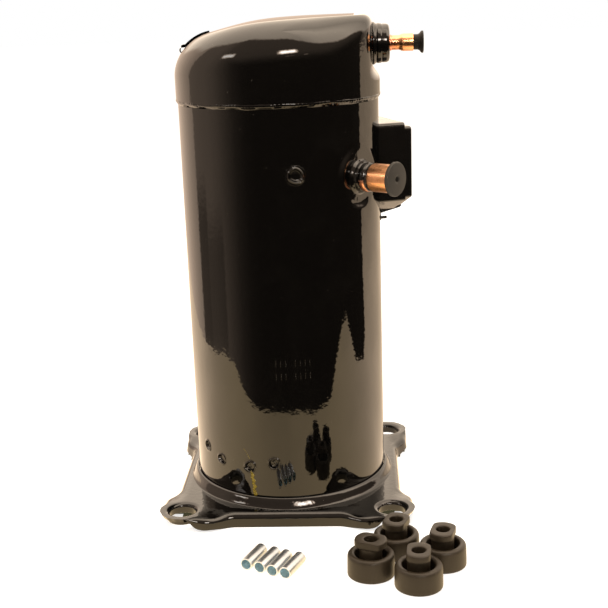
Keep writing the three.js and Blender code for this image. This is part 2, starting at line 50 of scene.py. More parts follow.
# ------------------------------------------------------------------ node helpers
class Mat:
    """A procedural material with short calls for its nodes."""

    def __init__(self, name):
        self.m = bpy.data.materials.new(name)
        self.m.use_nodes = True
        self.t = self.m.node_tree
        self.t.nodes.clear()
        self.out = self.t.nodes.new("ShaderNodeOutputMaterial")
        self.b = self.t.nodes.new("ShaderNodeBsdfPrincipled")
        self.t.links.new(self.b.outputs[0], self.out.inputs[0])
        self.co = self.t.nodes.new("ShaderNodeTexCoord").outputs["Object"]

    def node(self, kind, **ins):
        n = self.t.nodes.new("ShaderNode" + kind)
        for k, v in ins.items():
            if k.startswith("_"):
                setattr(n, k[1:], v)
            else:
                self.set(n, k.replace("__", " "), v)
        return n

    def set(self, n, key, v):
        s = n.inputs[int(key[1:])] if key[0] == "i" and key[1:].isdigit() else n.inputs[key]
        if isinstance(v, bpy.types.NodeSocket):
            self.t.links.new(v, s)
        else:
            s.default_value = v

    def math(self, op, a, b=0.0, c=0.0, clamp=False):
        n = self.t.nodes.new("ShaderNodeMath")
        n.operation, n.use_clamp = op, clamp
        for i, v in enumerate((a, b, c)):
            self.set(n, f"i{i}", v)
        return n.outputs[0]

    def ramp(self, f, lo, hi, a=0.0, b=1.0, smooth=True):
        n = self.t.nodes.new("ShaderNodeMapRange")
        n.interpolation_type = "SMOOTHSTEP" if smooth else "LINEAR"
        for i, v in enumerate((f, lo, hi, a, b)):
            self.set(n, f"i{i}", v)
        return n.outputs[0]

    def mix(self, f, a, b):
        n = self.t.nodes.new("ShaderNodeMix")
        n.data_type = "RGBA"
        self.set(n, "i0", f)
        for i, v in ((6, a), (7, b)):
            if not isinstance(v, bpy.types.NodeSocket) and len(v) == 3:
                v = (*v, 1)
            self.set(n, f"i{i}", v)
        return n.outputs[2]

    def curve(self, f, stops, sharp=False):
        """Piecewise-linear curve of f through (position, value) stops."""
        lo, hi, top = stops[0][0], stops[-1][0], max(v for _, v in stops)
        n = self.t.nodes.new("ShaderNodeValToRGB")
        self.set(n, "i0", self.math("MULTIPLY_ADD", f, 1.0 / (hi - lo), -lo / (hi - lo)))
        cr = n.color_ramp
        while len(cr.elements) < len(stops):
            cr.elements.new(0.5)
        for e, (q, v) in zip(cr.elements, stops):
            e.position = (q - lo) / (hi - lo)
            e.color = (v / top, v / top, v / top, 1)
        return self.math("MULTIPLY", n.outputs[0], top)

    def stretch(self, x=1.0, y=1.0, z=1.0, co=None):
        n = self.t.nodes.new("ShaderNodeMapping")
        self.t.links.new(co or self.co, n.inputs[0])
        n.inputs["Scale"].default_value = (x, y, z)
        return n.outputs[0]

    def noise(self, scale, detail=3.0, rough=0.5, co=None, distort=0.0):
        n = self.node("TexNoise", Scale=scale, Detail=detail, Roughness=rough, Distortion=distort)
        self.t.links.new(co or self.co, n.inputs["Vector"])
        return n.outputs["Fac"]

    def cells(self, scale, feature="F1", rand=1.0, co=None):
        n = self.t.nodes.new("ShaderNodeTexVoronoi")
        n.feature = feature
        n.inputs["Scale"].default_value = scale
        n.inputs["Randomness"].default_value = rand
        self.t.links.new(co or self.co, n.inputs["Vector"])
        return n

    def xyz(self):
        n = self.t.nodes.new("ShaderNodeSeparateXYZ")
        self.t.links.new(self.co, n.inputs[0])
        return n.outputs

    def bump(self, height, strength=1.0, dist=0.001, normal=None):
        n = self.node("Bump", Strength=strength, Distance=dist, Height=height)
        if normal:
            self.t.links.new(normal, n.inputs["Normal"])
        return n.outputs[0]

    def put(self, **ins):
        for k, v in ins.items():
            key = k.replace("__", " ")
            if isinstance(v, (tuple, list)) and len(v) == 3 and key in ("Base Color", "Coat Tint", "Specular Tint"):
                v = (*v, 1)
            self.set(self.b, key, v)
        return self.m


def paint(name, rough=0.035, peel=0.000045, dust=1.0, scale=1.0):
    """Black baked enamel: near-mirror gloss, slight orange peel, smudges and specks of dust."""
    m = Mat(name)
    smudge = m.ramp(m.noise(16 * scale, 5, 0.62, distort=0.4), 0.50, 0.72)
    wipe = m.ramp(m.noise(40 * scale, 4, 0.6, co=m.stretch(1, 1, 0.16)), 0.52, 0.74)
    fine = m.noise(900, 2, 0.5)
    haze = m.math("MULTIPLY", m.math("MULTIPLY_ADD", wipe, 0.5, smudge), 0.5)
    speck = m.cells(330 * scale, rand=1.0)
    pick = m.t.nodes.new("ShaderNodeSeparateColor")
    m.t.links.new(speck.outputs["Color"], pick.inputs[0])
    near = m.ramp(speck.outputs["Distance"], 0.05, 0.11, 1.0, 0.0)
    chosen = m.math("GREATER_THAN", pick.outputs[0], 0.965)
    dot = m.math("MULTIPLY", m.math("MULTIPLY", near, chosen), 0.8 * dust)
    scratch = m.noise(150 * scale, 2, 0.4, co=m.stretch(5.0, 5.0, 0.35), distort=0.8)
    line = m.math("MULTIPLY", m.ramp(m.math("ABSOLUTE", m.math("SUBTRACT", scratch, 0.5)), 0.0, 0.006, 1.0, 0.0),
                  m.ramp(m.noise(9 * scale, 2, 0.5), 0.60, 0.7))
    base = m.mix(haze, (0.0012, 0.0011, 0.0010), (0.0036, 0.0032, 0.0027))
    base = m.mix(dot, base, (0.16, 0.14, 0.12))
    base = m.mix(m.math("MULTIPLY", line, 0.30), base, (0.09, 0.08, 0.07))
    r = m.math("MULTIPLY_ADD", haze, 0.030, rough)
    r = m.math("MULTIPLY_ADD", dot, 0.4, r)
    r = m.math("MULTIPLY_ADD", line, 0.10, r)
    n = m.bump(m.noise(260, 1.5, 0.4), 1.0, peel)
    n = m.bump(fine, 1.0, 0.000004, n)
    return m.put(Base__Color=base, Roughness=r, IOR=1.5, Normal=n)


def copper(name, axis, tint_at, rings=1.0, painted=0.0):
    """Drawn copper with fine rings round the tube, and heat colours near the joint."""
    m = Mat(name)
    ax = Vector(axis).normalized()
    dot = m.t.nodes.new("ShaderNodeVectorMath")
    dot.operation = "DOT_PRODUCT"
    m.t.links.new(m.co, dot.inputs[0])
    dot.inputs[1].default_value = ax
    s = dot.outputs["Value"]
    heat = m.ramp(m.math("MULTIPLY_ADD", m.noise(180, 4, 0.6), 0.006, s), tint_at, tint_at + 0.011, 1.0, 0.0)
    mott = m.noise(320, 4, 0.6)
    base = m.mix(mott, (0.78, 0.36, 0.165), (0.92, 0.50, 0.27))
    base = m.mix(m.math("MULTIPLY", heat, 0.75), base, m.mix(m.noise(420, 3, 0.5), (0.46, 0.12, 0.08), (0.80, 0.34, 0.24)))
    ring = m.node("TexNoise", Scale=1.0, Detail=3.0, Roughness=0.6)
    comb = m.t.nodes.new("ShaderNodeCombineXYZ")
    m.t.links.new(m.math("MULTIPLY", s, 2600), comb.inputs[0])
    m.t.links.new(comb.outputs[0], ring.inputs["Vector"])
    rr = m.math("MULTIPLY_ADD", ring.outputs["Fac"], 0.16, 0.16)
    rr = m.math("MULTIPLY_ADD", mott, 0.10, rr)
    n = m.bump(ring.outputs["Fac"], 0.5 * rings, 0.00012)
    if painted:
        edge = m.math("MULTIPLY_ADD", m.noise(120, 3, 0.6), 0.0016, s)
        hz = m.math("ADD", m.xyz()[2], m.math("MULTIPLY", m.noise(90, 3, 0.6), 0.006))
        high = m.math("MULTIPLY", m.ramp(hz, 0.3085, 0.3105), m.ramp(edge, painted + 0.0002, painted + 0.0008, 1.0, 0.0))
        root = m.ramp(edge, painted - 0.0078, painted - 0.0068, 1.0, 0.0)
        groove = m.math("MULTIPLY", m.ramp(edge, painted - 0.0030, painted - 0.0024), m.ramp(edge, painted, painted + 0.0006, 1.0, 0.0))
        over = m.math("MAXIMUM", m.math("MAXIMUM", high, root), groove)
        base = m.mix(over, base, (0.004, 0.0036, 0.0032))
        rr = m.math("MULTIPLY_ADD", over, -0.12, rr)
        return m.put(Base__Color=base, Metallic=m.math("SUBTRACT", 1.0, over), Roughness=rr, Normal=n)
    return m.put(Base__Color=base, Metallic=1.0, Roughness=rr, Normal=n)


def rubber(name, lo, hi, rough=0.62, grain=1400, dust=0.25, spec=0.5):
    m = Mat(name)
    big = m.noise(60, 4, 0.6)
    small = m.noise(grain, 2, 0.6)
    up = m.t.nodes.new("ShaderNodeNewGeometry")
    sep = m.t.nodes.new("ShaderNodeSeparateXYZ")
    m.t.links.new(up.outputs["Normal"], sep.inputs[0])
    powder = m.math("MULTIPLY", m.math("MULTIPLY", m.ramp(sep.outputs[2], 0.2, 1.0), m.ramp(m.noise(130, 5, 0.65), 0.35, 0.7)), dust)
    base = m.mix(m.math("MULTIPLY_ADD", small, 0.25, big, clamp=True), lo, hi)
    base = m.mix(powder, base, tuple(min(1, 2.6 * c + 0.02) for c in hi))
    r = m.math("MULTIPLY_ADD", big, 0.16, rough - 0.06)
    n = m.bump(small, 0.35, 0.00012)
    n = m.bump(m.noise(190, 3, 0.5), 0.25, 0.0004, n)
    return m.put(Base__Color=base, Roughness=r, Normal=n, Specular__IOR__Level=spec)


def metal(name, lo, hi, rough, streak=(1, 1, 1), scale=500, bump=0.00005, metallic=1.0, var=0.12):
    m = Mat(name)
    st = m.noise(scale, 3, 0.6, co=m.stretch(*streak))
    big = m.noise(70, 4, 0.6)
    base = m.mix(m.math("MULTIPLY_ADD", st, 0.5, m.math("MULTIPLY", big, 0.5)), lo, hi)
    r = m.math("MULTIPLY_ADD", st, var, rough - var / 2)
    n = m.bump(st, 0.6, bump)
    return m.put(Base__Color=base, Metallic=metallic, Roughness=r, Normal=n)


def plastic(name, lo, hi, rough=0.28, grain=700):
    m = Mat(name)
    g = m.noise(grain, 3, 0.6)
    big = m.noise(45, 5, 0.6)
    base = m.mix(big, lo, hi)
    spots = m.cells(420)
    pick = m.t.nodes.new("ShaderNodeSeparateColor")
    m.t.links.new(spots.outputs["Color"], pick.inputs[0])
    d = m.math("MULTIPLY", m.ramp(spots.outputs["Distance"], 0.05, 0.12, 1.0, 0.0), m.math("GREATER_THAN", pick.outputs[0], 0.96))
    base = m.mix(m.math("MULTIPLY", d, 0.5), base, (0.16, 0.14, 0.12))
    r = m.math("MULTIPLY_ADD", big, 0.12, rough - 0.05)
    n = m.bump(g, 0.35, 0.00008)
    return m.put(Base__Color=base, Roughness=r, Normal=n)


M_PAINT = paint("black_enamel", dust=0.8)
M_CAP = paint("black_enamel_cap", dust=1.3)
M_BASE = paint("black_enamel_base", rough=0.05, peel=0.00010, dust=1.6)
M_BEAD = paint("black_enamel_bead", rough=0.09, peel=0.00010, dust=0.6)
M_FIT = paint("black_enamel_fitting", rough=0.06, peel=0.00012, dust=0.5)
SU = math.radians(-35.7)
SU_DIR = Vector((math.cos(SU), math.sin(SU), 0))
M_CU_S = copper("copper_suction", SU_DIR, 0.098, painted=0.1046)
M_CU_D = copper("copper_discharge", (1, 0, 0), 0.1035)
# one plug rubber in two brightnesses: the discharge plug's copy is darker, painted shade on that plug
M_PLUG = rubber("plug_rubber", (0.023, 0.0210, 0.0180), (0.042, 0.0385, 0.0330), rough=0.5, grain=900, dust=0.08, spec=0.26)
M_PLUG_PAINTED_SHADE = rubber("plug_rubber_painted_shade", (0.006, 0.0052, 0.0042), (0.013, 0.0115, 0.0095), rough=0.5, grain=900, dust=0.05, spec=0.16)
M_RUB = rubber("grommet_rubber", (0.016, 0.0118, 0.0070), (0.027, 0.0200, 0.0125), rough=0.42, dust=0.10, spec=0.30)
M_ZINC = metal("zinc_plate", (0.34, 0.37, 0.40), (0.76, 0.81, 0.86), 0.30, (1, 1, 1), 300, 0.00005, metallic=0.9)
M_BORE = metal("zinc_bore", (0.50, 0.70, 0.82), (0.80, 0.94, 1.0), 0.40, (1, 1, 1), 300, 0.00005, metallic=0.75)
M_RIM = metal("zinc_cut", (0.74, 0.76, 0.76), (0.92, 0.92, 0.90), 0.45, (1, 1, 1), 400, 0.00005, metallic=0.5)
M_GOLD_DROPS = plastic("gold_drops_colour", (0.07, 0.050, 0.003), (0.30, 0.215, 0.012), rough=0.14, grain=500)
M_PLAST = plastic("box_plastic", (0.0012, 0.0011, 0.0010), (0.0030, 0.0027, 0.0024), rough=0.17)
M_LATCH = metal("latch_steel", (0.006, 0.006, 0.006), (0.016, 0.015, 0.014), 0.42, (1, 1, 1), 500, 0.00004, metallic=0.5)
M_STRAP = rubber("strap_coat", (0.002, 0.002, 0.002), (0.004, 0.004, 0.0035), rough=0.9, grain=700, dust=0.02, spec=0.0)


# ------------------------------------------------------------------ mesh helpers
def make(name, verts, faces, mat, body, slot, replaces=(), scale=MM, sharp=None, weld=0.0):
    me = bpy.data.meshes.new(name)
    me.from_pydata([tuple(float(c) * scale for c in v) for v in verts], [], [tuple(int(i) for i in f) for f in faces])
    bm = bmesh.new()
    bm.from_mesh(me)
    if weld:
        bmesh.ops.remove_doubles(bm, verts=bm.verts, dist=weld)
    bmesh.ops.dissolve_degenerate(bm, dist=1e-7, edges=bm.edges)
    bmesh.ops.recalc_face_normals(bm, faces=bm.faces)
    if bm.calc_volume(signed=True) < 0:
        bmesh.ops.reverse_faces(bm, faces=bm.faces)
    bm.to_mesh(me)
    bm.free()
    me.validate()
    me.polygons.foreach_set("use_smooth", [True] * len(me.polygons))
    if sharp:
        me.set_sharp_from_angle(angle=math.radians(sharp))
    me.materials.append(mat)
    o = bpy.data.objects.new(name, me)
    bpy.context.scene.collection.objects.link(o)
    if body:
        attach(o, body)
        if replaces:
            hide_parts(*replaces)
    return o


def grid(P, close_u=True, close_v=False):
    """Vertices and quads of an nu x nv x 3 array of points."""
    P = np.asarray(P, float)
    nu, nv = P.shape[:2]
    f = []
    for i in range(nu if close_u else nu - 1):
        a, b = i * nv, ((i + 1) % nu) * nv
        for j in range(nv if close_v else nv - 1):
            k = (j + 1) % nv
            f.append((a + j, b + j, b + k, a + k))
    return P.reshape(-1, 3), f


def fillet(pts, r, k=6, closed=True):
    """A polyline with its corners rounded: r is one radius or one per point."""
    n, out = len(pts), []
    pts = [np.array(p, float) for p in pts]
    rs = r if isinstance(r, (list, tuple)) else [r] * n
    for i in range(n):
        if not closed and i in (0, n - 1) or rs[i] <= 0:
            out.append(pts[i])
            continue
        p, a, b = pts[i], pts[i - 1], pts[(i + 1) % n]
        ua, ub = a - p, b - p
        la, lb = np.linalg.norm(ua), np.linalg.norm(ub)
        ua, ub = ua / la, ub / lb
        ang = math.acos(max(-1, min(1, float(ua @ ub))))
        if ang > 3.1:
            out.append(p)
            continue
        L = min(rs[i] / math.tan(ang / 2), 0.48 * la, 0.48 * lb)
        for j in range(k + 1):
            t = j / k
            out.append((1 - t) ** 2 * (p + ua * L) + 2 * t * (1 - t) * p + t * t * (p + ub * L))
    return np.array(out)


def revolve(profile, n, frame_m, closed=True):
    """Profile of (radius, distance) turned about the frame's axis. frame_m maps (distance along, across, up) to the row."""
    prof = np.asarray(profile, float)
    P = np.zeros((n, len(prof), 3))
    for i in range(n):
        a = 2 * PI * i / n
        P[i, :, 0] = prof[:, 1]
        P[i, :, 1] = prof[:, 0] * math.cos(a)
        P[i, :, 2] = prof[:, 0] * math.sin(a)
    v, f = grid(P, True, closed)
    M = np.array(frame_m)
    return v @ M[:3, :3].T + M[:3, 3], f


def along(azimuth_deg, z):
    """Frame whose first axis points out of the shell at that azimuth."""
    a = math.radians(azimuth_deg)
    M = np.eye(4)
    M[:3, 0] = (math.cos(a), math.sin(a), 0)
    M[:3, 1] = (-math.sin(a), math.cos(a), 0)
    M[:3, 2] = (0, 0, 1)
    M[:3, 3] = (0, 0, z)
    return M


def upright(x=0.0, y=0.0):
    """Frame whose first axis points up."""
    M = np.eye(4)
    M[:3, 0], M[:3, 1], M[:3, 2], M[:3, 3] = (0, 0, 1), (1, 0, 0), (0, 1, 0), (x, y, 0)
    return M


def join(parts):
    """Several (verts, faces) as one."""
    V, F, n = [], [], 0
    for v, f in parts:
        V.extend(map(tuple, v))
        F.extend(tuple(i + n for i in q) for q in f)
        n += len(v)
    return V, F


def cut(o, cutters, op="DIFFERENCE"):
    """Applies boolean cutters (objects) to o and removes them."""
    for c in cutters:
        mod = o.modifiers.new("cut", "BOOLEAN")
        mod.operation, mod.object, mod.solver = op, c, "EXACT"
    bpy.context.view_layer.update()
    dg = bpy.context.evaluated_depsgraph_get()
    me = bpy.data.meshes.new_from_object(o.evaluated_get(dg))
    o.modifiers.clear()
    mats = list(o.data.materials)
    o.data = me
    me.materials.clear()
    for m in mats:
        me.materials.append(m)
    for c in cutters:
        bpy.data.objects.remove(c)
    return o


def tool(verts, faces):
    return make("cutter", verts, faces, M_PAINT, None, None, weld=1e-6)


def ss(a, b, x):
    t = np.clip((np.asarray(x, float) - a) / (b - a), 0, 1)
    return t * t * (3 - 2 * t)


def spread(stops):
    """Sorted values: stops is [(start, step), ..., (end, None)]."""
    out = []
    for (a, step), (b, _) in zip(stops[:-1], stops[1:]):
        k = max(1, round((b - a) / step))
        out += [a + (b - a) * i / k for i in range(k)]
    return np.array(out + [stops[-1][0]])


# ------------------------------------------------------------------ shell
SHELL_R, PAD_S, PAD_R, SU_AZ, SU_Z = 90.4, 89.5, 21.5, -35.7, 308.0


def shell_radius(phi_deg, z):
    t = SHELL_R * np.sin(np.radians(phi_deg - SU_AZ))
    near = np.abs(((phi_deg - SU_AZ + 180) % 360) - 180) < 40
    flat = (PAD_S + 0.04 * np.clip(z - SU_Z, -26, 26)) / np.maximum(0.5, np.cos(np.radians(phi_deg - SU_AZ)))
    d = np.hypot(t, z - SU_Z)
    w = 0.86 * (1 - ss(PAD_R, PAD_R + 8.0, d)) * near
    return SHELL_R * (1 - w) + flat * w


phi = spread([(-180, 1.5), (-60, 0.4), (-6, 1.5), (180, None)])[:-1]
zs = spread([(14, 4), (268, 0.8), (348, 3), (371.5, None)])
outer = np.zeros((len(phi), len(zs), 3))
for i, p in enumerate(phi):
    r = shell_radius(p, zs)
    outer[i, :, 0], outer[i, :, 1], outer[i, :, 2] = r * math.cos(math.radians(p)), r * math.sin(math.radians(p)), zs
inner = np.zeros((len(phi), 2, 3))
for i, p in enumerate(phi):
    for j, z in enumerate((371.5, 14)):
        inner[i, j] = (87.4 * math.cos(math.radians(p)), 87.4 * math.sin(math.radians(p)), z)
shell = make("shell", *grid(np.concatenate([outer, inner], 1), True, True), M_PAINT, "casing", "black_paint", ["shell_body"], sharp=50)
v, f = revolve([(0, 70), (12.9, 70), (12.9, 99), (0, 99)], 64, along(SU_AZ, SU_Z), False)
cut(shell, [tool(v, f)])
shell.data.set_sharp_from_angle(angle=math.radians(50))

# plug welds: small sunken welds with a raised rim, and the round one at the main bearing


def plug_weld(name, az, z, r, deep, rim, seed):
    q = random.Random(seed)
    nr, na = 36, 64
    V, F = [], []
    ph = [q.uniform(0, 6.28) for _ in range(4)]
    for i in range(nr + 1):
        u = i / nr
        for j in range(na):
            a = 2 * PI * j / na
            rr = r * 1.25 * u
            wob = 1 + 0.06 * math.sin(2 * a + ph[0]) + 0.04 * math.sin(3 * a + ph[1])
            x = u * 1.25 / wob
            h = rim * math.exp(-(abs(x - 0.90) / 0.10) ** 2.6) - deep * (1 - float(ss(0.52, 0.84, x)))
            h += deep * 0.12 * math.exp(-((x - 0.22) / 0.20) ** 2) * (1 + 0.5 * math.sin(a + ph[2]))
            h *= 1 - float(ss(1.08, 1.25, x))
            s = rr * math.cos(a) / SHELL_R
            R = SHELL_R + 0.03 * (1 - u ** 6) + max(h, -2.2)
            A = math.radians(az) + s
            V.append((R * math.cos(A), R * math.sin(A), z + rr * math.sin(a)))
    for i in range(nr):
        for j in range(na):
            k = (j + 1) % na
            F.append((i * na + j, (i + 1) * na + j, (i + 1) * na + k, i * na + k))
    # closed behind, inside the shell wall
    back = len(V)
    for j in range(na):
        a = 2 * PI * j / na
        A = math.radians(az) + r * 1.25 * math.cos(a) / SHELL_R
        V.append(((SHELL_R - 2.6) * math.cos(A), (SHELL_R - 2.6) * math.sin(A), z + r * 1.25 * math.sin(a)))
    for j in range(na):
        k = (j + 1) % na
        F.append((nr * na + j, back + j, back + k, nr * na + k))
    F.append(tuple(range(back, back + na)))
    return make(name, V, F, M_PAINT, "casing", "black_paint", weld=1e-6)


PLUGS = [("bearing_plug_weld", -78.4, 315.4, 7.0, 1.5, 0.75), ("plug_weld_a", -145.8, 58, 5.4, 2.0, 0.6),
         ("plug_weld_b", -132, 51, 5.4, 2.0, 0.7), ("plug_weld_c", -111.2, 50, 5.8, 2.1, 0.7), ("plug_weld_d", -96.6, 55, 5.6, 2.0, 0.7)]
holes = []
for nm, az, z, r, deep, rim in PLUGS:
    v, f = revolve([(0, SHELL_R - 2.4), (r * 1.2, SHELL_R - 2.4), (r * 1.2, SHELL_R + 3), (0, SHELL_R + 3)], 40, along(az, z), False)
    holes.append(tool(v, f))
cut(shell, holes)
shell.data.set_sharp_from_angle(angle=math.radians(50))
for i, (nm, az, z, r, deep, rim) in enumerate(PLUGS):
    plug_weld(nm, az, z, r, deep, rim, 11 + i)

# a thin line and a chain of small gold-coloured raised drops below one of the plug welds
V, F = [], []
drops = [(-114.6, 66.2, 0.35, 0.25), (-114.0, 64.8, 0.4, 0.3), (-113.3, 63.2, 0.4, 0.3), (-112.7, 61.6, 0.45, 0.3), (-112.1, 60.0, 0.45, 0.3), (-111.5, 58.3, 0.5, 0.35),
         (-110.5, 44.8, 1.3, 0.7), (-109.8, 42.0, 1.9, 0.95), (-110.1, 39.2, 1.6, 0.9), (-109.3, 36.6, 2.0, 1.0), (-109.5, 33.6, 1.5, 0.8), (-108.8, 31.0, 2.0, 1.0),
         (-109.4, 28.4, 1.5, 0.8), (-109.0, 25.8, 1.9, 1.0), (-108.5, 23.6, 2.0, 1.0)]
for az, z, r, h in drops:
    prof = [(0, SHELL_R + h), (0.45 * r, SHELL_R + 0.92 * h), (0.8 * r, SHELL_R + 0.6 * h), (r, SHELL_R + 0.15 * h), (1.02 * r, SHELL_R - 0.25), (0, SHELL_R - 0.25)]
    v, f = revolve(prof, 18, along(az, z), False)
    F += [tuple(i + len(V) for i in q) for q in f]
    V += list(map(tuple, v))
make("gold_drop_chain", V, F, M_GOLD_DROPS, "casing", "black_paint", weld=0)

# two rows of plain stamped dots
V, F = [], []
marks = []
for row, z in enumerate((149.6, 137.5)):
    for g in range(8):
        if g == 3:
            continue
        for k in range(3):
            marks.append((-93.2 + g * 2.75, z + (k - 1) * 2.1))
for az, z in marks:
    base = len(V)
    A = math.radians(az)
    for ringr, h in ((0.55, -0.05), (0.42, 0.05), (0.22, 0.09)):
        for j in range(10):
            a = 2 * PI * j / 10
            AA = A + ringr * math.cos(a) / SHELL_R
            V.append(((SHELL_R + h) * math.cos(AA), (SHELL_R + h) * math.sin(AA), z + ringr * math.sin(a)))
    for i in range(2):
        for j in range(10):
            k = (j + 1) % 10
            F.append((base + i * 10 + j, base + i * 10 + k, base + (i + 1) * 10 + k, base + (i + 1) * 10 + j))
    F.append(tuple(base + 20 + j for j in range(10)))
    F.append(tuple(base + j for j in reversed(range(10))))
M_MARK = paint("stamped_marks", rough=0.25, dust=0.2)
make("stamped_dots", V, F, M_MARK, "casing", "black_paint")

# bottom cap
prof = fillet([(0, 0), (58, 0), (72, 3), (83, 10.5), (87.1, 22), (87.1, 34), (84, 34), (84, 22.6), (80.6, 13), (70.6, 6), (57.4, 3), (0, 3)],
              [0, 30, 30, 20, 20, 0.6, 0.6, 20, 20, 30, 30, 0], 5)
make("lower_cap", *revolve(prof, 180, upright(), False), M_BASE, "casing", "black_paint", ["bottom_cap"], sharp=50, weld=1e-6)

# ------------------------------------------------------------------ top cap
CROWN = [(-92, 425), (-72, 429.6), (-51.5, 434.8), (-28, 440.6), (-6.4, 443.5), (22, 444.7), (51.5, 445), (92, 445.1)]
cx = np.linspace(-130, 130, 1041)
cz = np.interp(cx, [p[0] for p in CROWN], [p[1] for p in CROWN])
cz[cx < -92] = 425 + (cx[cx < -92] + 92) * 0.23
ker = np.exp(-0.5 * (np.arange(-160, 161) * 0.25 / 9.0) ** 2)
ker /= ker.sum()
cz = np.convolve(np.pad(cz, 160, mode="reflect", reflect_type="odd"), ker, mode="valid")


def crown(x):
    return np.interp(x, cx, cz)


def cap_wall(p):
    c = math.cos(p)
    if c < 0.5:
        return 92.0
    flat = 85.5 / c
    return (92.0 ** -46 + flat ** -46) ** (-1 / 46)


def cap_profile(p, inset, flat_n, round_n, wall_n):
    W = cap_wall(p) - inset
    a = abs(math.atan2(math.sin(p), math.cos(p)))
    rc = max(8 + 22 * float(ss(0.25, 1.1, a)) - inset, 4.5)
    pts = []
    yk = 0.0004
    def top(r):
        return float(crown(r * math.cos(p))) - yk * (r * math.sin(p)) ** 2 - inset
    for i in range(flat_n):
        r = (W - rc) * i / flat_n
        pts.append((r, top(r)))
    for i in range(round_n + 1):
        t = i / round_n * PI / 2
        r = W - rc + rc * math.sin(t)
        pts.append((r, top(r) - rc * (1 - math.cos(t))))
    z0 = pts[-1][1]
    full = 92.0 - inset
    for i in range(1, wall_n + 1):
        z = z0 + (375.6 - z0) * i / wall_n
        w = float(ss(388, 402, z))
        pts.append((full * (1 - w) + W * w, z))
    return pts


NP = 400
rows = []
for i in range(NP):
    p = 2 * PI * i / NP
    o_ = cap_profile(p, 0, 26, 22, 26)
    n_ = cap_profile(p, 3.5, 4, 4, 4)
    rows.append([(r * math.cos(p), r * math.sin(p), z) for r, z in o_ + n_[::-1]])
cap = make("top_dome", *grid(np.array(rows), True, False), M_CAP, "casing", "black_paint", ["top_cap"], sharp=50, weld=1e-6)
v, f = revolve([(0, 70), (7.2, 70), (7.2, 95), (0, 95)], 48, along(0, 418.7), False)
cut(cap, [tool(v, f)])
cap.data.set_sharp_from_angle(angle=math.radians(50))

# weld bead: uneven ring with ripples
NB = 900
rows = []
for i in range(NB):
    a = 2 * PI * i / NB
    wav = 0.5 * math.sin(5 * a + 1) + 0.35 * math.sin(13 * a + 2.2) + 0.3 * math.sin(29 * a) + 0.10 * math.sin(71 * a + 0.7)
    rip = 0.05 * math.sin(180 * a + 3 * math.sin(7 * a))
    zc = 373.6 + 0.30 * wav
    hw = 1.9 + 0.35 * math.sin(17 * a + 0.4) + 0.25 * math.sin(41 * a + 2)
    out = 92.15 + 0.16 * math.sin(23 * a + 1.7) + 0.07 * math.sin(59 * a) + rip
    low = 371.6 + 0.4 * wav + 0.18 * math.sin(19 * a + 1)
    pr = [(90.3, low), (90.55, low + 0.1), (91.1, low + 1.0 + 0.2 * rip), (out - 0.95, zc - 0.9), (out - 0.35, zc + 0.1), (out - 0.05, zc + 0.9), (out, zc + 1.5),
          (out - 0.12, zc + 2.1), (out - 0.5, zc + 2.6), (91.9, 376.9), (90.2, 376.9), (90.2, 372.2)]
    rows.append([(r * math.cos(a), r * math.sin(a), z) for r, z in pr])
make("seam_bead", *grid(np.array(rows), True, True), M_BEAD, "casing", "black_paint", ["top_weld_bead"])

# ------------------------------------------------------------------ foot plate
H, EAR, ER, SHEET = 105.4, 95.25, 20.5, 3.4


def side_x(y):
    return H + 10.4 * float(ss(48, 72, y)) - 0.3 * float(ss(80, 95, y))


def side_lip(y):
    t = min(1.0, max(0.0, (y - 74) / 13.5))
    return math.sqrt(max(0.0, 1 - t * t))


def plate_outline():
    """Closed outline of the plate in plan, with the lip depth wanted at each point."""
    pts = []
    for q in range(4):
        ca, sa = math.cos(q * PI / 2), math.sin(q * PI / 2)
        seg = []
        for t in np.linspace(0, 1, 100):           # half a side, centre to flare
            y = 91 * t
            x = side_x(y)
            seg.append((x, y, side_lip(y)))
        for a in np.linspace(math.radians(-6), math.radians(96), 120):
            rr = ER + 0.25 * math.sin(7 * a + q) + 0.2 * math.sin(17 * a + 2 * q)
            seg.append((EAR + rr * math.cos(a), EAR + rr * math.sin(a), 0))
        for t in np.linspace(1, 0, 100):           # down to the next side's centre
            y = 91 * t
            x = side_x(y)
            seg.append((y, x, side_lip(y)))
        for x, y, l in seg[:-1]:
            pts.append((x * ca - y * sa, x * sa + y * ca, l))
    return np.array(pts)


OUT = plate_outline()
ring_k = np.ones(9) / 9
for c in range(3):
    OUT[:, c] = np.convolve(np.concatenate([OUT[-4:, c], OUT[:, c], OUT[:4, c]]), ring_k, mode="valid")


def plate_top(x, y):
    r = math.hypot(x, y)
    z = 13.6 + 8.4 * (1 - float(ss(92.2, 98.2, r)))
    big, small = max(abs(x), abs(y)), min(abs(x), abs(y))
    z -= 2.0 * float(ss(93, 107, big)) * (1 - float(ss(58, 84, small)))
    for sx in (-1, 1):
        for sy in (-1, 1):
            d = math.hypot(x - sx * EAR, y - sy * EAR)
            if d < 16.5:                            # the hole's edge rolls down
                t = min(1.0, (16.5 - d) / 4.4)
                z -= 3.6 * (1 - math.sqrt(max(0.0, 1 - t * t)))
    return z


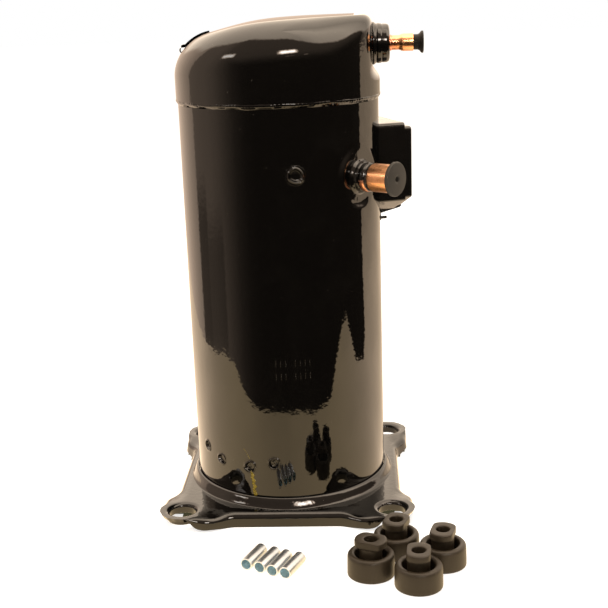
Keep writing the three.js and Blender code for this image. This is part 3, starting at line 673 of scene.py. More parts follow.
BEND = 7.6
rows = []
tangent = np.roll(OUT[:, :2], -1, 0) - np.roll(OUT[:, :2], 1, 0)
normal = np.stack([tangent[:, 1], -tangent[:, 0]], 1)
normal /= np.linalg.norm(normal, axis=1)[:, None]
for (x, y, lip), (nx, ny) in zip(OUT, normal):
    a = math.atan2(y, x)
    i0 = np.array([90.75 * math.cos(a), 90.75 * math.sin(a)])
    edge = np.array([x, y]) - BEND * np.array([nx, ny]) * lip
    top, bot = [], []
    top.append((*(i0), 19.4)); top.append((*(i0 * 1.0015), 21.9)); top.append((*(i0 * 1.006), 22.3)); top.append((*(i0 * 1.013), 22.2))
    n = 74
    for j in range(1, n + 1):
        t = (j / n) ** 1.15
        p = i0 * 1.02 * (1 - t) + edge * t
        top.append((p[0], p[1], plate_top(p[0], p[1])))
    zt = top[-1][2]
    # turned-down lip: tight bend, sloped face, then upright; it fades out at the ears
    low = 2.2 * float(ss(52, 70, min(abs(x), abs(y))))
    arc = [(6.7 * math.sin(math.radians(q)), 6.7 * (1 - math.cos(math.radians(q)))) for q in (10, 20, 30, 40, 50, 60, 70, 80, 86)]
    arc += [(7.0, 8.4), (7.3, 10.8), (7.55, 12.8), (7.6, 13.6)]
    for o2, dz in arc:
        e2 = edge + np.array([nx, ny]) * o2 * lip
        top.append((e2[0], e2[1], zt - (zt - low) * dz / 13.6 * lip))
    # the same way back, one sheet thickness in
    P = np.array(top)
    T = np.gradient(P[:, 2]), np.hypot(np.gradient(P[:, 0]), np.gradient(P[:, 1]))
    L = np.hypot(T[0], T[1]) + 1e-9
    nz, nr = T[1] / L, T[0] / L
    dirx, diry = np.gradient(P[:, 0]), np.gradient(P[:, 1])
    dl = np.hypot(dirx, diry) + 1e-9
    hx, hy = dirx / dl, diry / dl
    if dl[-1] < 1e-4:
        hx[-5:], hy[-5:] = nx, ny
    B = P.copy()
    B[:, 0] += hx * nr * SHEET
    B[:, 1] += hy * nr * SHEET
    B[:, 2] -= nz * SHEET
    B[:, 2] = np.maximum(B[:, 2], 0.0)
    mid = (P[-1] + B[-1]) / 2 + np.array([0, 0, -0.0])
    loop = list(P) + list(B[::-1][::3]) + [B[0]]
    rr = np.hypot([q[0] for q in loop], [q[1] for q in loop])
    loop = [q if r_ >= 90.75 else np.array([q[0] * 90.75 / r_, q[1] * 90.75 / r_, q[2]]) for q, r_ in zip(loop, rr)]
    rows.append(loop)
plate = make("foot_plate", *grid(np.array(rows), True, True), M_BASE, "casing", "black_paint", ["base_plate"], sharp=55, weld=1e-6)
cutters = []
for sx in (-1, 1):
    for sy in (-1, 1):
        v, f = revolve([(0, -5), (12.15, -5), (12.15, 30), (0, 30)], 72, upright(sx * EAR, sy * EAR), False)
        cutters.append(tool(v, f))
cut(plate, cutters)
plate.data.set_sharp_from_angle(angle=math.radians(55))
parts = []
for sx in (-1, 1):
    for sy in (-1, 1):
        prof = fillet([(12.0, 4.6), (13.8, 4.6), (14.6, 9.4), (14.6, 10.2), (12.0, 10.4)], [0.6, 0.6, 0.4, 0.2, 0.2], 4)
        parts.append(revolve(prof, 72, upright(sx * EAR, sy * EAR), True))
make("foot_hole_collars", *join(parts), M_BASE, "casing", "black_paint", sharp=60)

# ------------------------------------------------------------------ stubs
A0 = along(0, 418.7)
prof = fillet([(6.8, 85.6), (18.6, 85.6), (18.8, 87.2), (17.6, 88.4), (17.0, 89.4), (17.6, 90.6), (17.2, 93.2), (16.7, 94.2), (16.9, 95.4),
               (16.8, 98.2), (15.9, 100.2), (13.6, 101), (6.8, 101)],
              [0, 0.8, 1.2, 1.0, 1.2, 1.0, 0.6, 0.8, 0.8, 1.4, 1.6, 0.8, 0.4], 5)
make("discharge_boss", *revolve(prof, 128, A0), M_FIT, "casing", "black_paint", ["discharge_fitting"], sharp=60)
prof = fillet([(5.5, 80), (6.4, 80), (6.4, 100.6), (7.1, 101.3), (6.9, 102.4), (6.4, 103), (6.35, 109.2), (6.7, 110.4), (7.45, 112.0), (7.6, 113.2),
               (7.6, 122), (6.75, 122), (6.75, 113), (5.5, 110.6)],
              [0.1, 0.1, 0.5, 0.5, 0.5, 0.8, 2.0, 1.5, 1.5, 1.0, 0.2, 0.2, 1.2, 1.2], 5)
make("discharge_pipe", *revolve(prof, 96, A0), M_CU_D, "casing", "copper", ["discharge_tube"], sharp=60)
prof = fillet([(0, 113.6), (6.2, 113.6), (6.3, 122.25), (6.7, 122.35), (6.75, 126.0), (7.3, 127.4), (9.3, 128.9), (9.75, 129.8), (9.6, 130.9), (8.8, 131.1), (0, 130.7)],
              [0, 0.6, 0.1, 0.3, 1.5, 1.5, 0.5, 0.4, 0.5, 0.5, 0], 5)
make("discharge_cap_plug", *revolve(prof, 96, A0, False), M_PLUG_PAINTED_SHADE, "discharge_cap", "soft_plug", ["discharge_plug"], sharp=60, weld=1e-6)

A1 = along(SU_AZ, SU_Z)
prof = fillet([(12.1, 88.2), (16.2, 88.2), (16.3, 89.5), (14.8, 90.5), (13.7, 92.0), (13.4, 94.4), (12.9, 95.6), (12.1, 95.9)],
              [0, 0.6, 0.8, 1.5, 1.5, 0.8, 0.5, 0.2], 6)
make("suction_boss", *revolve(prof, 144, A1), M_FIT, "casing", "black_paint", ["suction_fitting"], sharp=60)
prof = fillet([(10.6, 84), (11.7, 84), (11.7, 96.1), (12.6, 96.5), (12.95, 97.6), (12.95, 99.6), (12.5, 100.9), (11.75, 101.8), (11.65, 103.3), (12.1, 104.3), (12.3, 105.0),
               (12.3, 124), (11.1, 124), (11.1, 105), (10.6, 103.8)],
              [0.1, 0.1, 0.3, 0.5, 0.6, 0.6, 0.5, 0.5, 0.5, 0.6, 0.3, 0.3, 0.3, 0.5, 0.5], 5)
make("suction_pipe", *revolve(prof, 144, A1), M_CU_S, "casing", "copper", ["suction_tube"], sharp=60)
prof = fillet([(0, 113), (10.6, 113), (10.8, 124.2), (14.2, 124.3), (14.85, 125.0), (14.95, 126.7), (14.3, 127.8), (4.0, 128.35), (2.6, 127.9), (2.3, 124.6), (0, 124.4)],
              [0, 0.8, 0.2, 0.5, 0.6, 0.7, 0.6, 0.8, 0.6, 0.4, 0], 5)
make("suction_cap_plug", *revolve(prof, 128, A1, False), M_PLUG, "suction_cap", "soft_plug", ["suction_plug"], sharp=60, weld=1e-6)

# ------------------------------------------------------------------ terminal box
AB = along(20, 0)


def rounded_slab(hx, hy, r, n=8):
    pts = []
    for cx_, cy_, a0 in ((hx - r, hy - r, 0), (-hx + r, hy - r, 90), (-hx + r, -hy + r, 180), (hx - r, -hy + r, 270)):
        for i in range(n + 1):
            a = math.radians(a0 + 90 * i / n)
            pts.append((cx_ + r * math.cos(a), cy_ + r * math.sin(a)))
    return np.array(pts)


def box_frame(P):
    return P @ AB[:3, :3].T + AB[:3, 3]


# body: lofted walls with a keel below, open towards the lid and the shell
def shield(s, top, half, side, keel_half, keel, inset, r):
    """Ring of points at distance s: flat top, upright sides, sloped underside with a narrow keel."""
    i = inset
    c = [(top - i, half - i), (top - i, -half + i), (side + 0.62 * i, -half + i), (keel + 1.05 * i, -keel_half + 0.25 * i),
         (keel + 1.05 * i, keel_half - 0.25 * i), (side + 0.62 * i, half - i)]
    q = fillet(c, [max(0.8, r - 0.8 * i), max(0.8, r - 0.8 * i), 2.2, 3.0, 3.0, 2.2], 7)
    P = np.zeros((len(q), 3))
    P[:, 0], P[:, 1], P[:, 2] = s, q[:, 1], q[:, 0]
    return box_frame(P)


stations = [(74, 0), (80, 0), (84, 0), (88, 0), (92, 0), (96, 0), (100, 0), (104, 0), (106.2, 0), (106.75, 0.2), (107, 0.75),
            (107, 2.0), (106.8, 2.4), (104, 2.5), (96, 2.5), (88, 2.5), (84, 2.5), (74, 2.5)]
rows = [shield(s, 348, 40, 277, 11, 264.5, inset, 4.2) for s, inset in stations]
P = np.array(rows).transpose(1, 0, 2)
tbox = make("terminal_housing", *grid(P, True, True), M_PLAST, "casing", "box_plastic", ["terminal_box"], sharp=50)
v, f = revolve([(0, 230), (90.55, 230), (90.55, 380), (0, 380)], 180, upright(), False)
cut(tbox, [tool(v, f)])
tbox.data.set_sharp_from_angle(angle=math.radians(40))


def across(r, y0, y1, s, z, n=40, round_r=0.3):
    """Round bar running across the box."""
    prof = fillet([(0, y0), (r, y0), (r, y1), (0, y1)], [0, round_r, round_r, 0], 3)
    M = np.eye(4)
    M[:3, 0], M[:3, 1], M[:3, 2] = AB[:3, 1], AB[:3, 0], AB[:3, 2]
    M[:3, 3] = AB[:3, 0] * s + AB[:3, 2] * z
    return revolve(prof, n, M, False)


def brick(s0, s1, y0, y1, z0, z1, r=0.5):
    """Box with rounded edges all round, in the terminal box's frame."""
    bm = bmesh.new()
    bmesh.ops.create_cube(bm, size=1)
    for v_ in bm.verts:
        v_.co = ((s0 + s1) / 2 + v_.co.x * (s1 - s0), (y0 + y1) / 2 + v_.co.y * (y1 - y0), (z0 + z1) / 2 + v_.co.z * (z1 - z0))
    bmesh.ops.bevel(bm, geom=bm.edges, offset=r, segments=3, affect="EDGES", profile=0.5)
    V_ = [tuple(v_.co) for v_ in bm.verts]
    F_ = [tuple(v_.index for v_ in f_.verts) for f_ in bm.faces]
    bm.free()
    return box_frame(np.array(V_)), F_


HINGE = box_frame(np.array([[109.8, 42.8, 0.0]]))[0]


def knuckle(r, z0, z1, n=40, e=0.3):
    return revolve(fillet([(0, z0), (r, z0), (r, z1), (0, z1)], [0, e, e, 0], 3), n, upright(HINGE[0], HINGE[1]), False)


parts = [knuckle(2.3, 304, 326), brick(102, 109.6, 39.2, 44.5, 304.1, 325.9)]
for y in (-9.6, 7.0):
    parts.append(brick(90.5, 94.2, y, y + 2.6, 258.2, 265.6, 0.5))
make("terminal_housing_lugs", *join(parts), M_PLAST, "casing", "box_plastic", sharp=40)

# lid: dished tray with a rounded rim
front = [shield(s, 344, 38, 279.3, 9.5, 266.6, inset, 3.6) for s, inset in
         ((107.3, 0.25), (107.5, 0.0), (112.4, 0.0), (113.6, 0.2), (114.3, 0.8), (114.55, 1.8), (114.6, 3.2), (114.3, 4.4), (114.3, 9))]
back_rows = [shield(s, 344, 38, 279.3, 9.5, 266.6, inset, 3.6) for s, inset in
             ((111.9, 9), (111.9, 3.3), (111.5, 2.7), (107.5, 2.6), (107.3, 2.4))]
P = np.array(front).transpose(1, 0, 2)
v1, f1 = grid(P, True, False)
n1 = len(front)
N = P.shape[0]
f1.append(tuple(i * n1 + n1 - 1 for i in range(N)))
P2 = np.array(back_rows).transpose(1, 0, 2)
v2, f2 = grid(P2, True, False)
n2 = len(back_rows)
f2.append(tuple(i * n2 for i in reversed(range(N))))
V = list(map(tuple, v1)) + list(map(tuple, v2))
F = f1 + [tuple(len(v1) + i for i in q) for q in f2]
for i in range(N):
    k = (i + 1) % N
    F.append((i * n1, k * n1, len(v1) + k * n2 + n2 - 1, len(v1) + i * n2 + n2 - 1))
make("terminal_lid_shell", V, F, M_PLAST, "terminal_lid", "box_plastic", ["terminal_cover"], sharp=40)
parts = []
for z in (295, 327):
    parts += [knuckle(2.3, z, z + 8), brick(108.4, 111.3, 36.4, 42.6, z + 0.1, z + 7.9, 0.4)]
make("terminal_lid_lugs", *join(parts), M_PLAST, "terminal_lid", "box_plastic", sharp=40)
make("lid_pin", *knuckle(1.0, 294.4, 335.6, 24, 0.25), M_ZINC, "casing", "zinc", ["cover_hinge_pin"], sharp=50, weld=1e-6)

# latch: cross bar and formed strip
strip = fillet([(91.4, 259.6), (93.2, 259.6), (114.9, 264.2), (116.1, 265.3), (116.2, 272.6), (117.2, 273.8), (116.4, 274.4), (114.8, 273.0), (114.8, 266.0), (92.4, 261.1)],
               [0.5, 1, 1.6, 1.2, 0.8, 0.4, 0.4, 0.8, 1.2, 0.8], 4)
V, F = [], []
ys = [-6, -5.7, 5.7, 6]
cen = strip.mean(0)
for k, y in enumerate(ys):
    for p in strip:
        V.append((p[0], y, p[1]))
n = len(strip)
for k in range(3):
    for i in range(n):
        j = (i + 1) % n
        F.append((k * n + i, k * n + j, (k + 1) * n + j, (k + 1) * n + i))
F.append(tuple(range(n)))
F.append(tuple(3 * n + i for i in reversed(range(n))))
strip_v = box_frame(np.array(V))
make("latch_strip", *join([(strip_v, F), across(1.1, -9.7, 9.7, 92, 260.3, 24, 0.3)]), M_LATCH, "latch", "zinc", ["cover_latch"], sharp=40, weld=1e-6)

# inside the box: hermetic terminal, pins, plug block
AT = along(20, 312)
prof = fillet([(0, 82), (20, 82), (20, 84.0), (18.2, 84.6), (17.1, 86), (17.1, 91.2), (16.2, 92), (13.4, 92), (12.6, 91.0), (0, 91.0)],
              [0, 0.5, 0.5, 0.8, 1, 0.8, 0.4, 0.4, 0.5, 0], 4)
M_STEEL = metal("machined_steel", (0.42, 0.43, 0.44), (0.62, 0.63, 0.64), 0.32, (1, 1, 8), 260, 0.00004)
feed = make("hermetic_terminal", *revolve(prof, 96, AT, False), M_STEEL, "casing", "steel", ["terminal_feedthrough"], sharp=50, weld=1e-6)
M_GLASS = Mat("glass_seal")
M_GLASS = M_GLASS.put(Base__Color=M_GLASS.mix(M_GLASS.noise(300), (0.02, 0.05, 0.09), (0.05, 0.10, 0.16)), Roughness=0.12)
glass, PINS = [], [(8.5 * math.cos(math.radians(a)), 8.5 * math.sin(math.radians(a))) for a in (90, 210, 330)]
for i, (y, z) in enumerate(PINS):
    M = AT.copy()
    M[:3, 3] = AT[:3, 3] + AB[:3, 1] * y + AB[:3, 2] * z
    prof = fillet([(0, 81), (1.6, 81), (1.6, 100.4), (1.1, 101), (0, 101)], [0, 0.3, 0.3, 0.3, 0], 3)
    make(f"terminal_post_{i + 1}", *revolve(prof, 32, M, False), M_STEEL, "casing", "steel", [f"terminal_pin_{i + 1}"], sharp=50, weld=1e-6)
    prof = fillet([(1.62, 90.5), (4.0, 90.6), (3.6, 91.6), (1.62, 92.6)], [0.1, 0.2, 0.6, 0.1], 4)
    glass.append(revolve(prof, 40, M))
make("glass_seals", *join(glass), M_GLASS, "casing", "steel", sharp=60)
V, F = brick(93, 104.5, -17, 17, 296, 328, 1.6)
plug_parts = [(V, F), brick(104.2, 105.6, -12, 12, 301, 303, 0.4), brick(104.2, 105.6, -12, 12, 321, 323, 0.4)]
make("terminal_plug_block", *join(plug_parts), M_PLAST, "casing", "box_plastic", ["terminal_block"], sharp=40)

# stud below the box
A2 = along(20, 257.2)
A2[:3, 3] += A2[:3, 1] * -13
prof = fillet([(0, 89.6), (1.3, 89.6), (1.3, 98.0), (1.0, 98.4), (0, 98.4)], [0, 0.2, 0.2, 0.2, 0], 3)
hexp = []
for i in range(6):
    hexp.append((2.7 * math.cos(i * PI / 3), 2.7 * math.sin(i * PI / 3)))
hexp = fillet(hexp, 0.6, 4)
rowsx = []
for s, k in ((90.4, 0.94), (90.6, 1.0), (92.2, 1.0), (92.4, 0.93)):
    Q = np.zeros((len(hexp), 3))
    Q[:, 0], Q[:, 1], Q[:, 2] = s, hexp[:, 0] * k, hexp[:, 1] * k
    rowsx.append(Q @ A2[:3, :3].T + A2[:3, 3])
P = np.array(rowsx).transpose(1, 0, 2)
vh, fh = grid(P, True, False)
nh = len(rowsx)
fh.append(tuple(i * nh for i in reversed(range(len(hexp)))))
fh.append(tuple(i * nh + nh - 1 for i in range(len(hexp))))
make("ground_stud", *join([revolve(prof, 32, A2, False), (vh, fh)]), M_LATCH, "casing", "zinc", ["ground_screw"], sharp=40, weld=1e-6)

# ------------------------------------------------------------------ strap on the shoulder
def dome_z(x, y):
    r, p = math.hypot(x, y), math.atan2(y, x)
    W, a = cap_wall(p), abs(math.atan2(y, x))
    rc = 8 + 22 * float(ss(0.25, 1.1, a))
    z = float(crown(x)) - 0.0004 * y * y
    if r > W - rc:
        t = min(1.0, (r - (W - rc)) / rc)
        z -= rc * (1 - math.sqrt(1 - t * t))
    return z


rows = []
for j, y in enumerate(np.linspace(-11, 11, 17)):
    line = []
    for i, x in enumerate(np.linspace(-60.5, -80.5, 26)):
        lift = -0.1 + 0.2 * (i / 25) ** 2
        line.append([x, y, dome_z(x, y) + lift])
    for k in range(1, 9):                      # free end kicks up and out
        x = -80.5 - 3.4 * k / 8
        line.append([x, y, line[25][2] - 0.3 * (k / 8)])
    line = np.array(line)
    d = np.gradient(line, axis=0)
    nrm = np.stack([-d[:, 2], 0 * d[:, 0], d[:, 0]], 1)
    nrm /= np.linalg.norm(nrm, axis=1)[:, None]
    nrm *= -1
    up = line + nrm * 1.7
    rows.append(np.concatenate([line, up[::-1]]))
P = np.array(rows)
v1, f1 = grid(P, False, True)
nv = P.shape[1]
half = nv // 2
for e in (0, len(rows) - 1):
    b0 = e * nv
    for i in range(half - 1):
        q = (b0 + i, b0 + i + 1, b0 + nv - 2 - i, b0 + nv - 1 - i)
        f1.append(q if e else q[::-1])
make("shoulder_strap", v1, f1, M_STRAP, "casing", "black_paint", ["sensor_strap"], sharp=40)
# small spring hook under the strap's free end
hook = []
path = [(-84.3, -3, 415.4), (-85.9, -3, 416.6), (-86.3, -3, 418.3), (-85.7, -3, 419.6)]
path = fillet([np.array(p) for p in path], 1.0, 4, False)
rows = []
for i, p in enumerate(path):
    t = path[min(i + 1, len(path) - 1)] - path[max(i - 1, 0)]
    t = t / np.linalg.norm(t)
    side = np.array([0, 1, 0])
    other = np.cross(t, side)
    rows.append([p + 0.75 * (math.cos(a) * side * 3.2 + math.sin(a) * other * 0.7) for a in [2 * PI * k / 14 for k in range(14)]])
P = np.array(rows)
v1, f1 = grid(P, False, True)
f1.append(tuple(range(14)))
f1.append(tuple((len(rows) - 1) * 14 + i for i in reversed(range(14))))
make("strap_hook", v1, f1, M_STRAP, "casing", "black_paint", sharp=60)

# ------------------------------------------------------------------ kit: grommets and sleeves
GROM = [(74.9, -191.0, -22), (96.9, -155.4, 68), (134.9, -175.0, 74), (112.9, -211.0, 84)]
for gi, (gx, gy, turn) in enumerate(GROM):
    prof = [(5.4, 0.25, 0), (5.9, 0, 0), (19.1, 0, 0), (19.65, 0.5, 0), (19.75, 1.4, 0), (19.62, 8, 0), (19.5, 15.6, 0), (19.35, 17.0, 0), (18.85, 18.3, 0),
            (17.9, 19.2, 0), (16.9, 19.55, 0), (15.6, 19.5, 0), (14.4, 19.1, 0), (13.7, 18.5, 0), (13.35, 17.6, 0), (13.25, 14, 0), (13.2, 8, 0), (12.8, 7.2, 0), (12, 7, 0),
            (10.4, 7, 0), (9.7, 7.3, 0), (9.4, 8.2, 0), (9.35, 14, 0), (9.35, 21.5, 0), (9.5, 23.4, 0), (10.0, 24.6, 1), (11.2, 25.1, 1), (12.6, 25.3, 1), (13.25, 25.7, 1),
            (13.5, 26.4, 1), (13.5, 28.5, 1), (13.45, 30.3, 1), (13.15, 31.1, 1), (12.5, 31.45, 1), (11.4, 31.5, 1), (8.2, 31.45, 0), (6.4, 31.4, 0), (5.85, 31.1, 0), (5.6, 30.4, 0),
            (5.5, 25, 0), (5.45, 12, 0)]
    rows = []
    NG = 160
    for i in range(NG):
        a = 2 * PI * i / NG
        line = []
        for r, z, head in prof:
            rr = r
            if head:
                lim = 9.8 * (r / 13.5) ** 0.35 / max(1e-3, abs(math.sin(a)))
                rr = (r ** -14 + lim ** -14) ** (-1 / 14)
                rr = max(rr, min(r, 9.0))
            line.append((z, rr * math.cos(a), rr * math.sin(a)))
        rows.append(line)
    P = np.array(rows)
    P = np.stack([P[..., 1], P[..., 2], P[..., 0]], -1)
    c, s = math.cos(math.radians(turn)), math.sin(math.radians(turn))
    Q = P.copy()
    Q[..., 0] = gx + c * P[..., 0] - s * P[..., 1]
    Q[..., 1] = gy + s * P[..., 0] + c * P[..., 1]
    o = make(f"mount_grommet_{gi + 1}", *grid(Q, True, True), M_RUB, f"loose_grommet_{gi + 1}", "grommet_rubber", [f"grommet_{gi + 1}"])
    sub = o.modifiers.new("sub", "SUBSURF")
    sub.levels = sub.render_levels = 1

SLEEVES = [(-29.4, -184.3, 68.0), (-17.9, -189.6, 66.6), (-7.0, -195.3, 68.0), (3.9, -199.6, 66.8)]
for si, (sx, sy, head) in enumerate(SLEEVES):
    M = np.eye(4)
    a = math.radians(head)
    M[:3, 0], M[:3, 1], M[:3, 2] = (math.cos(a), math.sin(a), 0), (-math.sin(a), math.cos(a), 0), (0, 0, 1)
    M[:3, 3] = (sx, sy, 5.25)
    prof = fillet([(4.25, 0), (5.25, 0), (5.25, 29.5), (4.25, 29.5)], 0.32, 4)
    o = make(f"mount_sleeve_{si + 1}", *revolve(prof, 96, M), M_ZINC, f"loose_sleeve_{si + 1}", "zinc", [f"sleeve_{si + 1}"], sharp=60)
    o.data.materials.append(M_BORE)
    o.data.materials.append(M_RIM)
    for pf in o.data.polygons:
        c = np.array(pf.center) * 1000 - M[:3, 3]
        t = float(c @ M[:3, 0]), float(c @ M[:3, 1]), float(c @ M[:3, 2])
        flat = [abs(float(np.array(pf.normal) @ M[:3, k])) for k in range(3)]
        axial = max(range(3), key=lambda k: abs(t[k]) if abs(t[k]) > 6 else -1)
        rad = math.sqrt(max(0.0, sum(q * q for q in t) - t[axial] ** 2))
        if rad < 4.5 and flat[axial] < 0.5:
            pf.material_index = 1
        elif flat[axial] > 0.5:
            pf.material_index = 2

# ------------------------------------------------------------------ hidden pieces keep their CAD shape and get real finishes
M_IRON = metal("grey_iron", (0.12, 0.12, 0.125), (0.24, 0.24, 0.25), 0.5, (1, 1, 1), 420, 0.00015, 0.9)
M_BRONZE = metal("bronze", (0.42, 0.28, 0.12), (0.62, 0.45, 0.22), 0.34, (1, 1, 6), 300, 0.00004)
M_LAM = metal("laminations", (0.16, 0.165, 0.175), (0.36, 0.37, 0.39), 0.45, (0.4, 0.4, 30), 120, 0.0002, 0.9)
M_ALLOY = metal("cast_alloy", (0.5, 0.51, 0.52), (0.68, 0.69, 0.7), 0.4, (1, 1, 1), 500, 0.00012)
M_SEAL = rubber("seal_polymer", (0.06, 0.065, 0.055), (0.11, 0.115, 0.10), 0.55)
M_LEAD = rubber("lead_sleeve", (0.02, 0.02, 0.02), (0.05, 0.045, 0.04), 0.6)
wm = Mat("winding_wire")
xyz = wm.xyz()
ang = wm.math("ARCTAN2", xyz[1], xyz[0])
wav = wm.math("SINE", wm.math("MULTIPLY_ADD", ang, 260.0, wm.math("MULTIPLY", wm.noise(60, 3, 0.6), 26.0)))
M_WIRE = wm.put(Base__Color=wm.mix(wm.ramp(wav, -1, 1), (0.16, 0.05, 0.02), (0.62, 0.26, 0.10)), Metallic=0.7,
                Roughness=wm.math("MULTIPLY_ADD", wav, 0.06, 0.34), Normal=wm.bump(wav, 1.0, 0.0004))
LOOK = {"iron": M_IRON, "steel": M_STEEL, "bronze": M_BRONZE, "lamination": M_LAM, "alloy": M_ALLOY, "seal_polymer": M_SEAL,
        "winding": M_WIRE, "soft_plug": M_LEAD, "box_plastic": M_PLAST, "black_paint": M_PAINT, "copper": M_CU_S, "zinc": M_ZINC, "grommet_rubber": M_RUB}
slot_of = {s["node"]: s["material_slot"] for s in frame["record"]["subparts"]}
for nm, o in frame["nodes"].items():
    if o.hide_render:
        continue
    me = o.data
    if not me.materials:
        me.materials.append(LOOK[slot_of[nm]])
    for i in range(len(me.materials)):
        o.material_slots[i].link = "OBJECT"
        o.material_slots[i].material = LOOK[slot_of[nm]]
    me.polygons.foreach_set("use_smooth", [True] * len(me.polygons))
    w = o.modifiers.new("weld", "WELD")
    w.merge_threshold = 1e-5
    bv = o.modifiers.new("edge", "BEVEL")
    bv.width, bv.segments, bv.limit_method, bv.angle_limit, bv.use_clamp_overlap = 0.0003, 2, "ANGLE", math.radians(35), True
    me.set_sharp_from_angle(angle=math.radians(35))

# ------------------------------------------------------------------ stage, light, camera
WARM = (1.0, 0.80, 0.58)


def stage_mesh(name, verts, faces, mat, camera=True, glossy=True, diffuse=True, shadow=True):
    me = bpy.data.meshes.new(name)
    me.from_pydata(verts, [], faces)
    me.materials.append(mat)
    o = bpy.data.objects.new(name, me)
    bpy.context.scene.collection.objects.link(o)
    o.visible_camera, o.visible_glossy, o.visible_diffuse, o.visible_shadow = camera, glossy, diffuse, shadow
    o.visible_transmission = o.visible_volume_scatter = False
    return o


def glow(name, color, strength, pattern=None):
    m = bpy.data.materials.new(name)
    m.use_nodes = True
    t = m.node_tree
    t.nodes.clear()
    out, em = t.nodes.new("ShaderNodeOutputMaterial"), t.nodes.new("ShaderNodeEmission")
    em.inputs[0].default_value = (*color, 1)
    em.inputs[1].default_value = strength
    t.links.new(em.outputs[0], out.inputs[0])
    return m


# floor: white for the camera; its reflection is the lit sheet below
fm = Mat("floor")
fm.put(Base__Color=fm.mix(fm.noise(6.0, 3, 0.5), (0.80, 0.80, 0.79), (0.82, 0.82, 0.81)), Roughness=0.9, Specular__IOR__Level=0.0,
       Emission__Color=(1.0, 1.0, 1.0, 1.0), Emission__Strength=0.72)
FL = 12.0
floor = stage_mesh("floor", [(-FL, -FL, -0.0002), (FL, -FL, -0.0002), (FL, FL, -0.0002), (-FL, FL, -0.0002)], [(0, 1, 2, 3)], fm.m, glossy=False)

shade_m = Mat("floor_shade")
shade_m.put(Base__Color=shade_m.mix(shade_m.noise(40.0, 4, 0.6), (0.02, 0.02, 0.012), (0.05, 0.048, 0.030)), Roughness=0.9, Specular__IOR__Level=0.0,
            Emission__Color=(0.052, 0.048, 0.026, 1.0), Emission__Strength=1.0)
SQ = 0.098
under = [(-SQ, -SQ, SQ, SQ)]
for sx in (-1, 1):
    for sy in (-1, 1):
        under.append((sx * 0.080, sy * 0.050, sx * 0.1085, sy * 0.077))
        under.append((sx * 0.080, sy * 0.063, sx * 0.1135, sy * 0.077))
        under.append((sx * 0.050, sy * 0.080, sx * 0.077, sy * 0.1040))
sv, sf = [], []
for i, (x0, y0, x1, y1) in enumerate(under):
    zz = 0.0002 + 0.00002 * i
    sf.append(tuple(len(sv) + k for k in range(4)))
    sv += [(x0, y0, zz), (x1, y0, zz), (x1, y1, zz), (x0, y1, zz)]
stage_mesh("floor_shade", sv, sf, shade_m.m, glossy=False, diffuse=False, shadow=False)

# the sheet the object stands on, as the paint sees it
sheet_m = Mat("sheet_glow")
em = sheet_m.t.nodes.new("ShaderNodeEmission")
sx, sy, _ = sheet_m.xyz()
sdeg = sheet_m.math("MULTIPLY", sheet_m.math("ARCTAN2", sx, sheet_m.math("MULTIPLY", sy, -1.0)), 180 / PI)
glowing = sheet_m.curve(sdeg, [(-180, 0.65), (-168, 0.93), (-156, 1.08), (-144, 1.28), (-132, 1.52), (-120, 1.8), (-108, 2.0), (-60, 2.0), (-24, 1.5), (0, 1.3), (24, 1.55), (60, 1.75),
                               (108, 1.75), (120, 1.45), (132, 1.2), (144, 1.08), (156, 0.95), (168, 0.8), (180, 0.65)])
patch = sheet_m.ramp(sheet_m.noise(3.0, 3, 0.5), 0.35, 0.65, 0.94, 1.06)
patch = sheet_m.math("MULTIPLY", patch, sheet_m.ramp(sx, 0.6, 1.5, 1.0, 0.72))
sheet_m.t.links.new(sheet_m.math("MULTIPLY", patch, glowing), em.inputs[1])
away = sheet_m.math("ABSOLUTE", sdeg)
sheet_m.t.links.new(sheet_m.mix(sheet_m.ramp(away, 40, 112), (1.34, 1.0, 0.58), (1.33, 1.0, 0.69)), em.inputs[0])
sheet_m.t.links.new(em.outputs[0], sheet_m.out.inputs[0])
edge = [(-0.57, 0.05), (-0.53, -0.19), (-0.44, -0.29), (-0.30, -0.300), (-0.20, -0.315), (-0.10, -0.355), (0.0, -0.366), (0.09, -0.356), (0.20, -0.300),
        (0.30, -0.262), (0.45, -0.285), (0.63, -0.262), (0.70, -0.20), (0.62, -0.12), (0.50, -0.04), (0.49, 0.07), (0.60, 0.14), (1.10, 0.28), (1.65, 0.455), (3.2, 0.92),
        (9.0, 2.85), (9.0, 9.0), (-0.57, 9.0)]
stage_mesh("sheet", [(x, y, -0.0001) for x, y in edge], [tuple(range(len(edge)))], sheet_m.m, camera=False, diffuse=False, shadow=False)

# world: white for the camera, a dim studio for reflections, soft fill for matt surfaces
w = bpy.data.worlds.new("studio")
bpy.context.scene.world = w
w.use_nodes = True
t = w.node_tree
t.nodes.clear()


class WorldNodes(Mat):
    def __init__(self, tree):
        self.t = tree
        self.out = tree.nodes.new("ShaderNodeOutputWorld")
        self.co = tree.nodes.new("ShaderNodeTexCoord").outputs["Generated"]


W = WorldNodes(t)
x, y, z = W.xyz()
az = W.math("ARCTAN2", x, W.math("MULTIPLY", y, -1.0))      # 0 towards the camera side, + to the right
deg = W.math("MULTIPLY", az, 180 / PI)
el = W.math("MULTIPLY", W.math("ARCSINE", z), 180 / PI)
low = W.curve(deg, [(-180, 0.65), (-168, 0.8), (-150, 1.07), (-138, 1.25), (-126, 1.3), (-111.5, 1.25), (-110, 0.58), (-96, 0.65), (-84, 0.7), (-72, 0.6), (-60, 0.37),
                    (-48, 0.16), (-36, 0.07), (-24, 0.045), (0, 0.04), (108, 0.045), (110, 0.06), (112, 0.30), (122, 0.44), (132, 0.85), (144, 1.1), (156, 1.0), (168, 0.85), (180, 0.65)])
front = W.curve(el, [(-30, 0.03), (-4, 0.05), (4, 0.13), (12, 0.26), (20, 0.38), (40, 0.45), (90, 0.5)])
low = W.math("MAXIMUM", low, front)

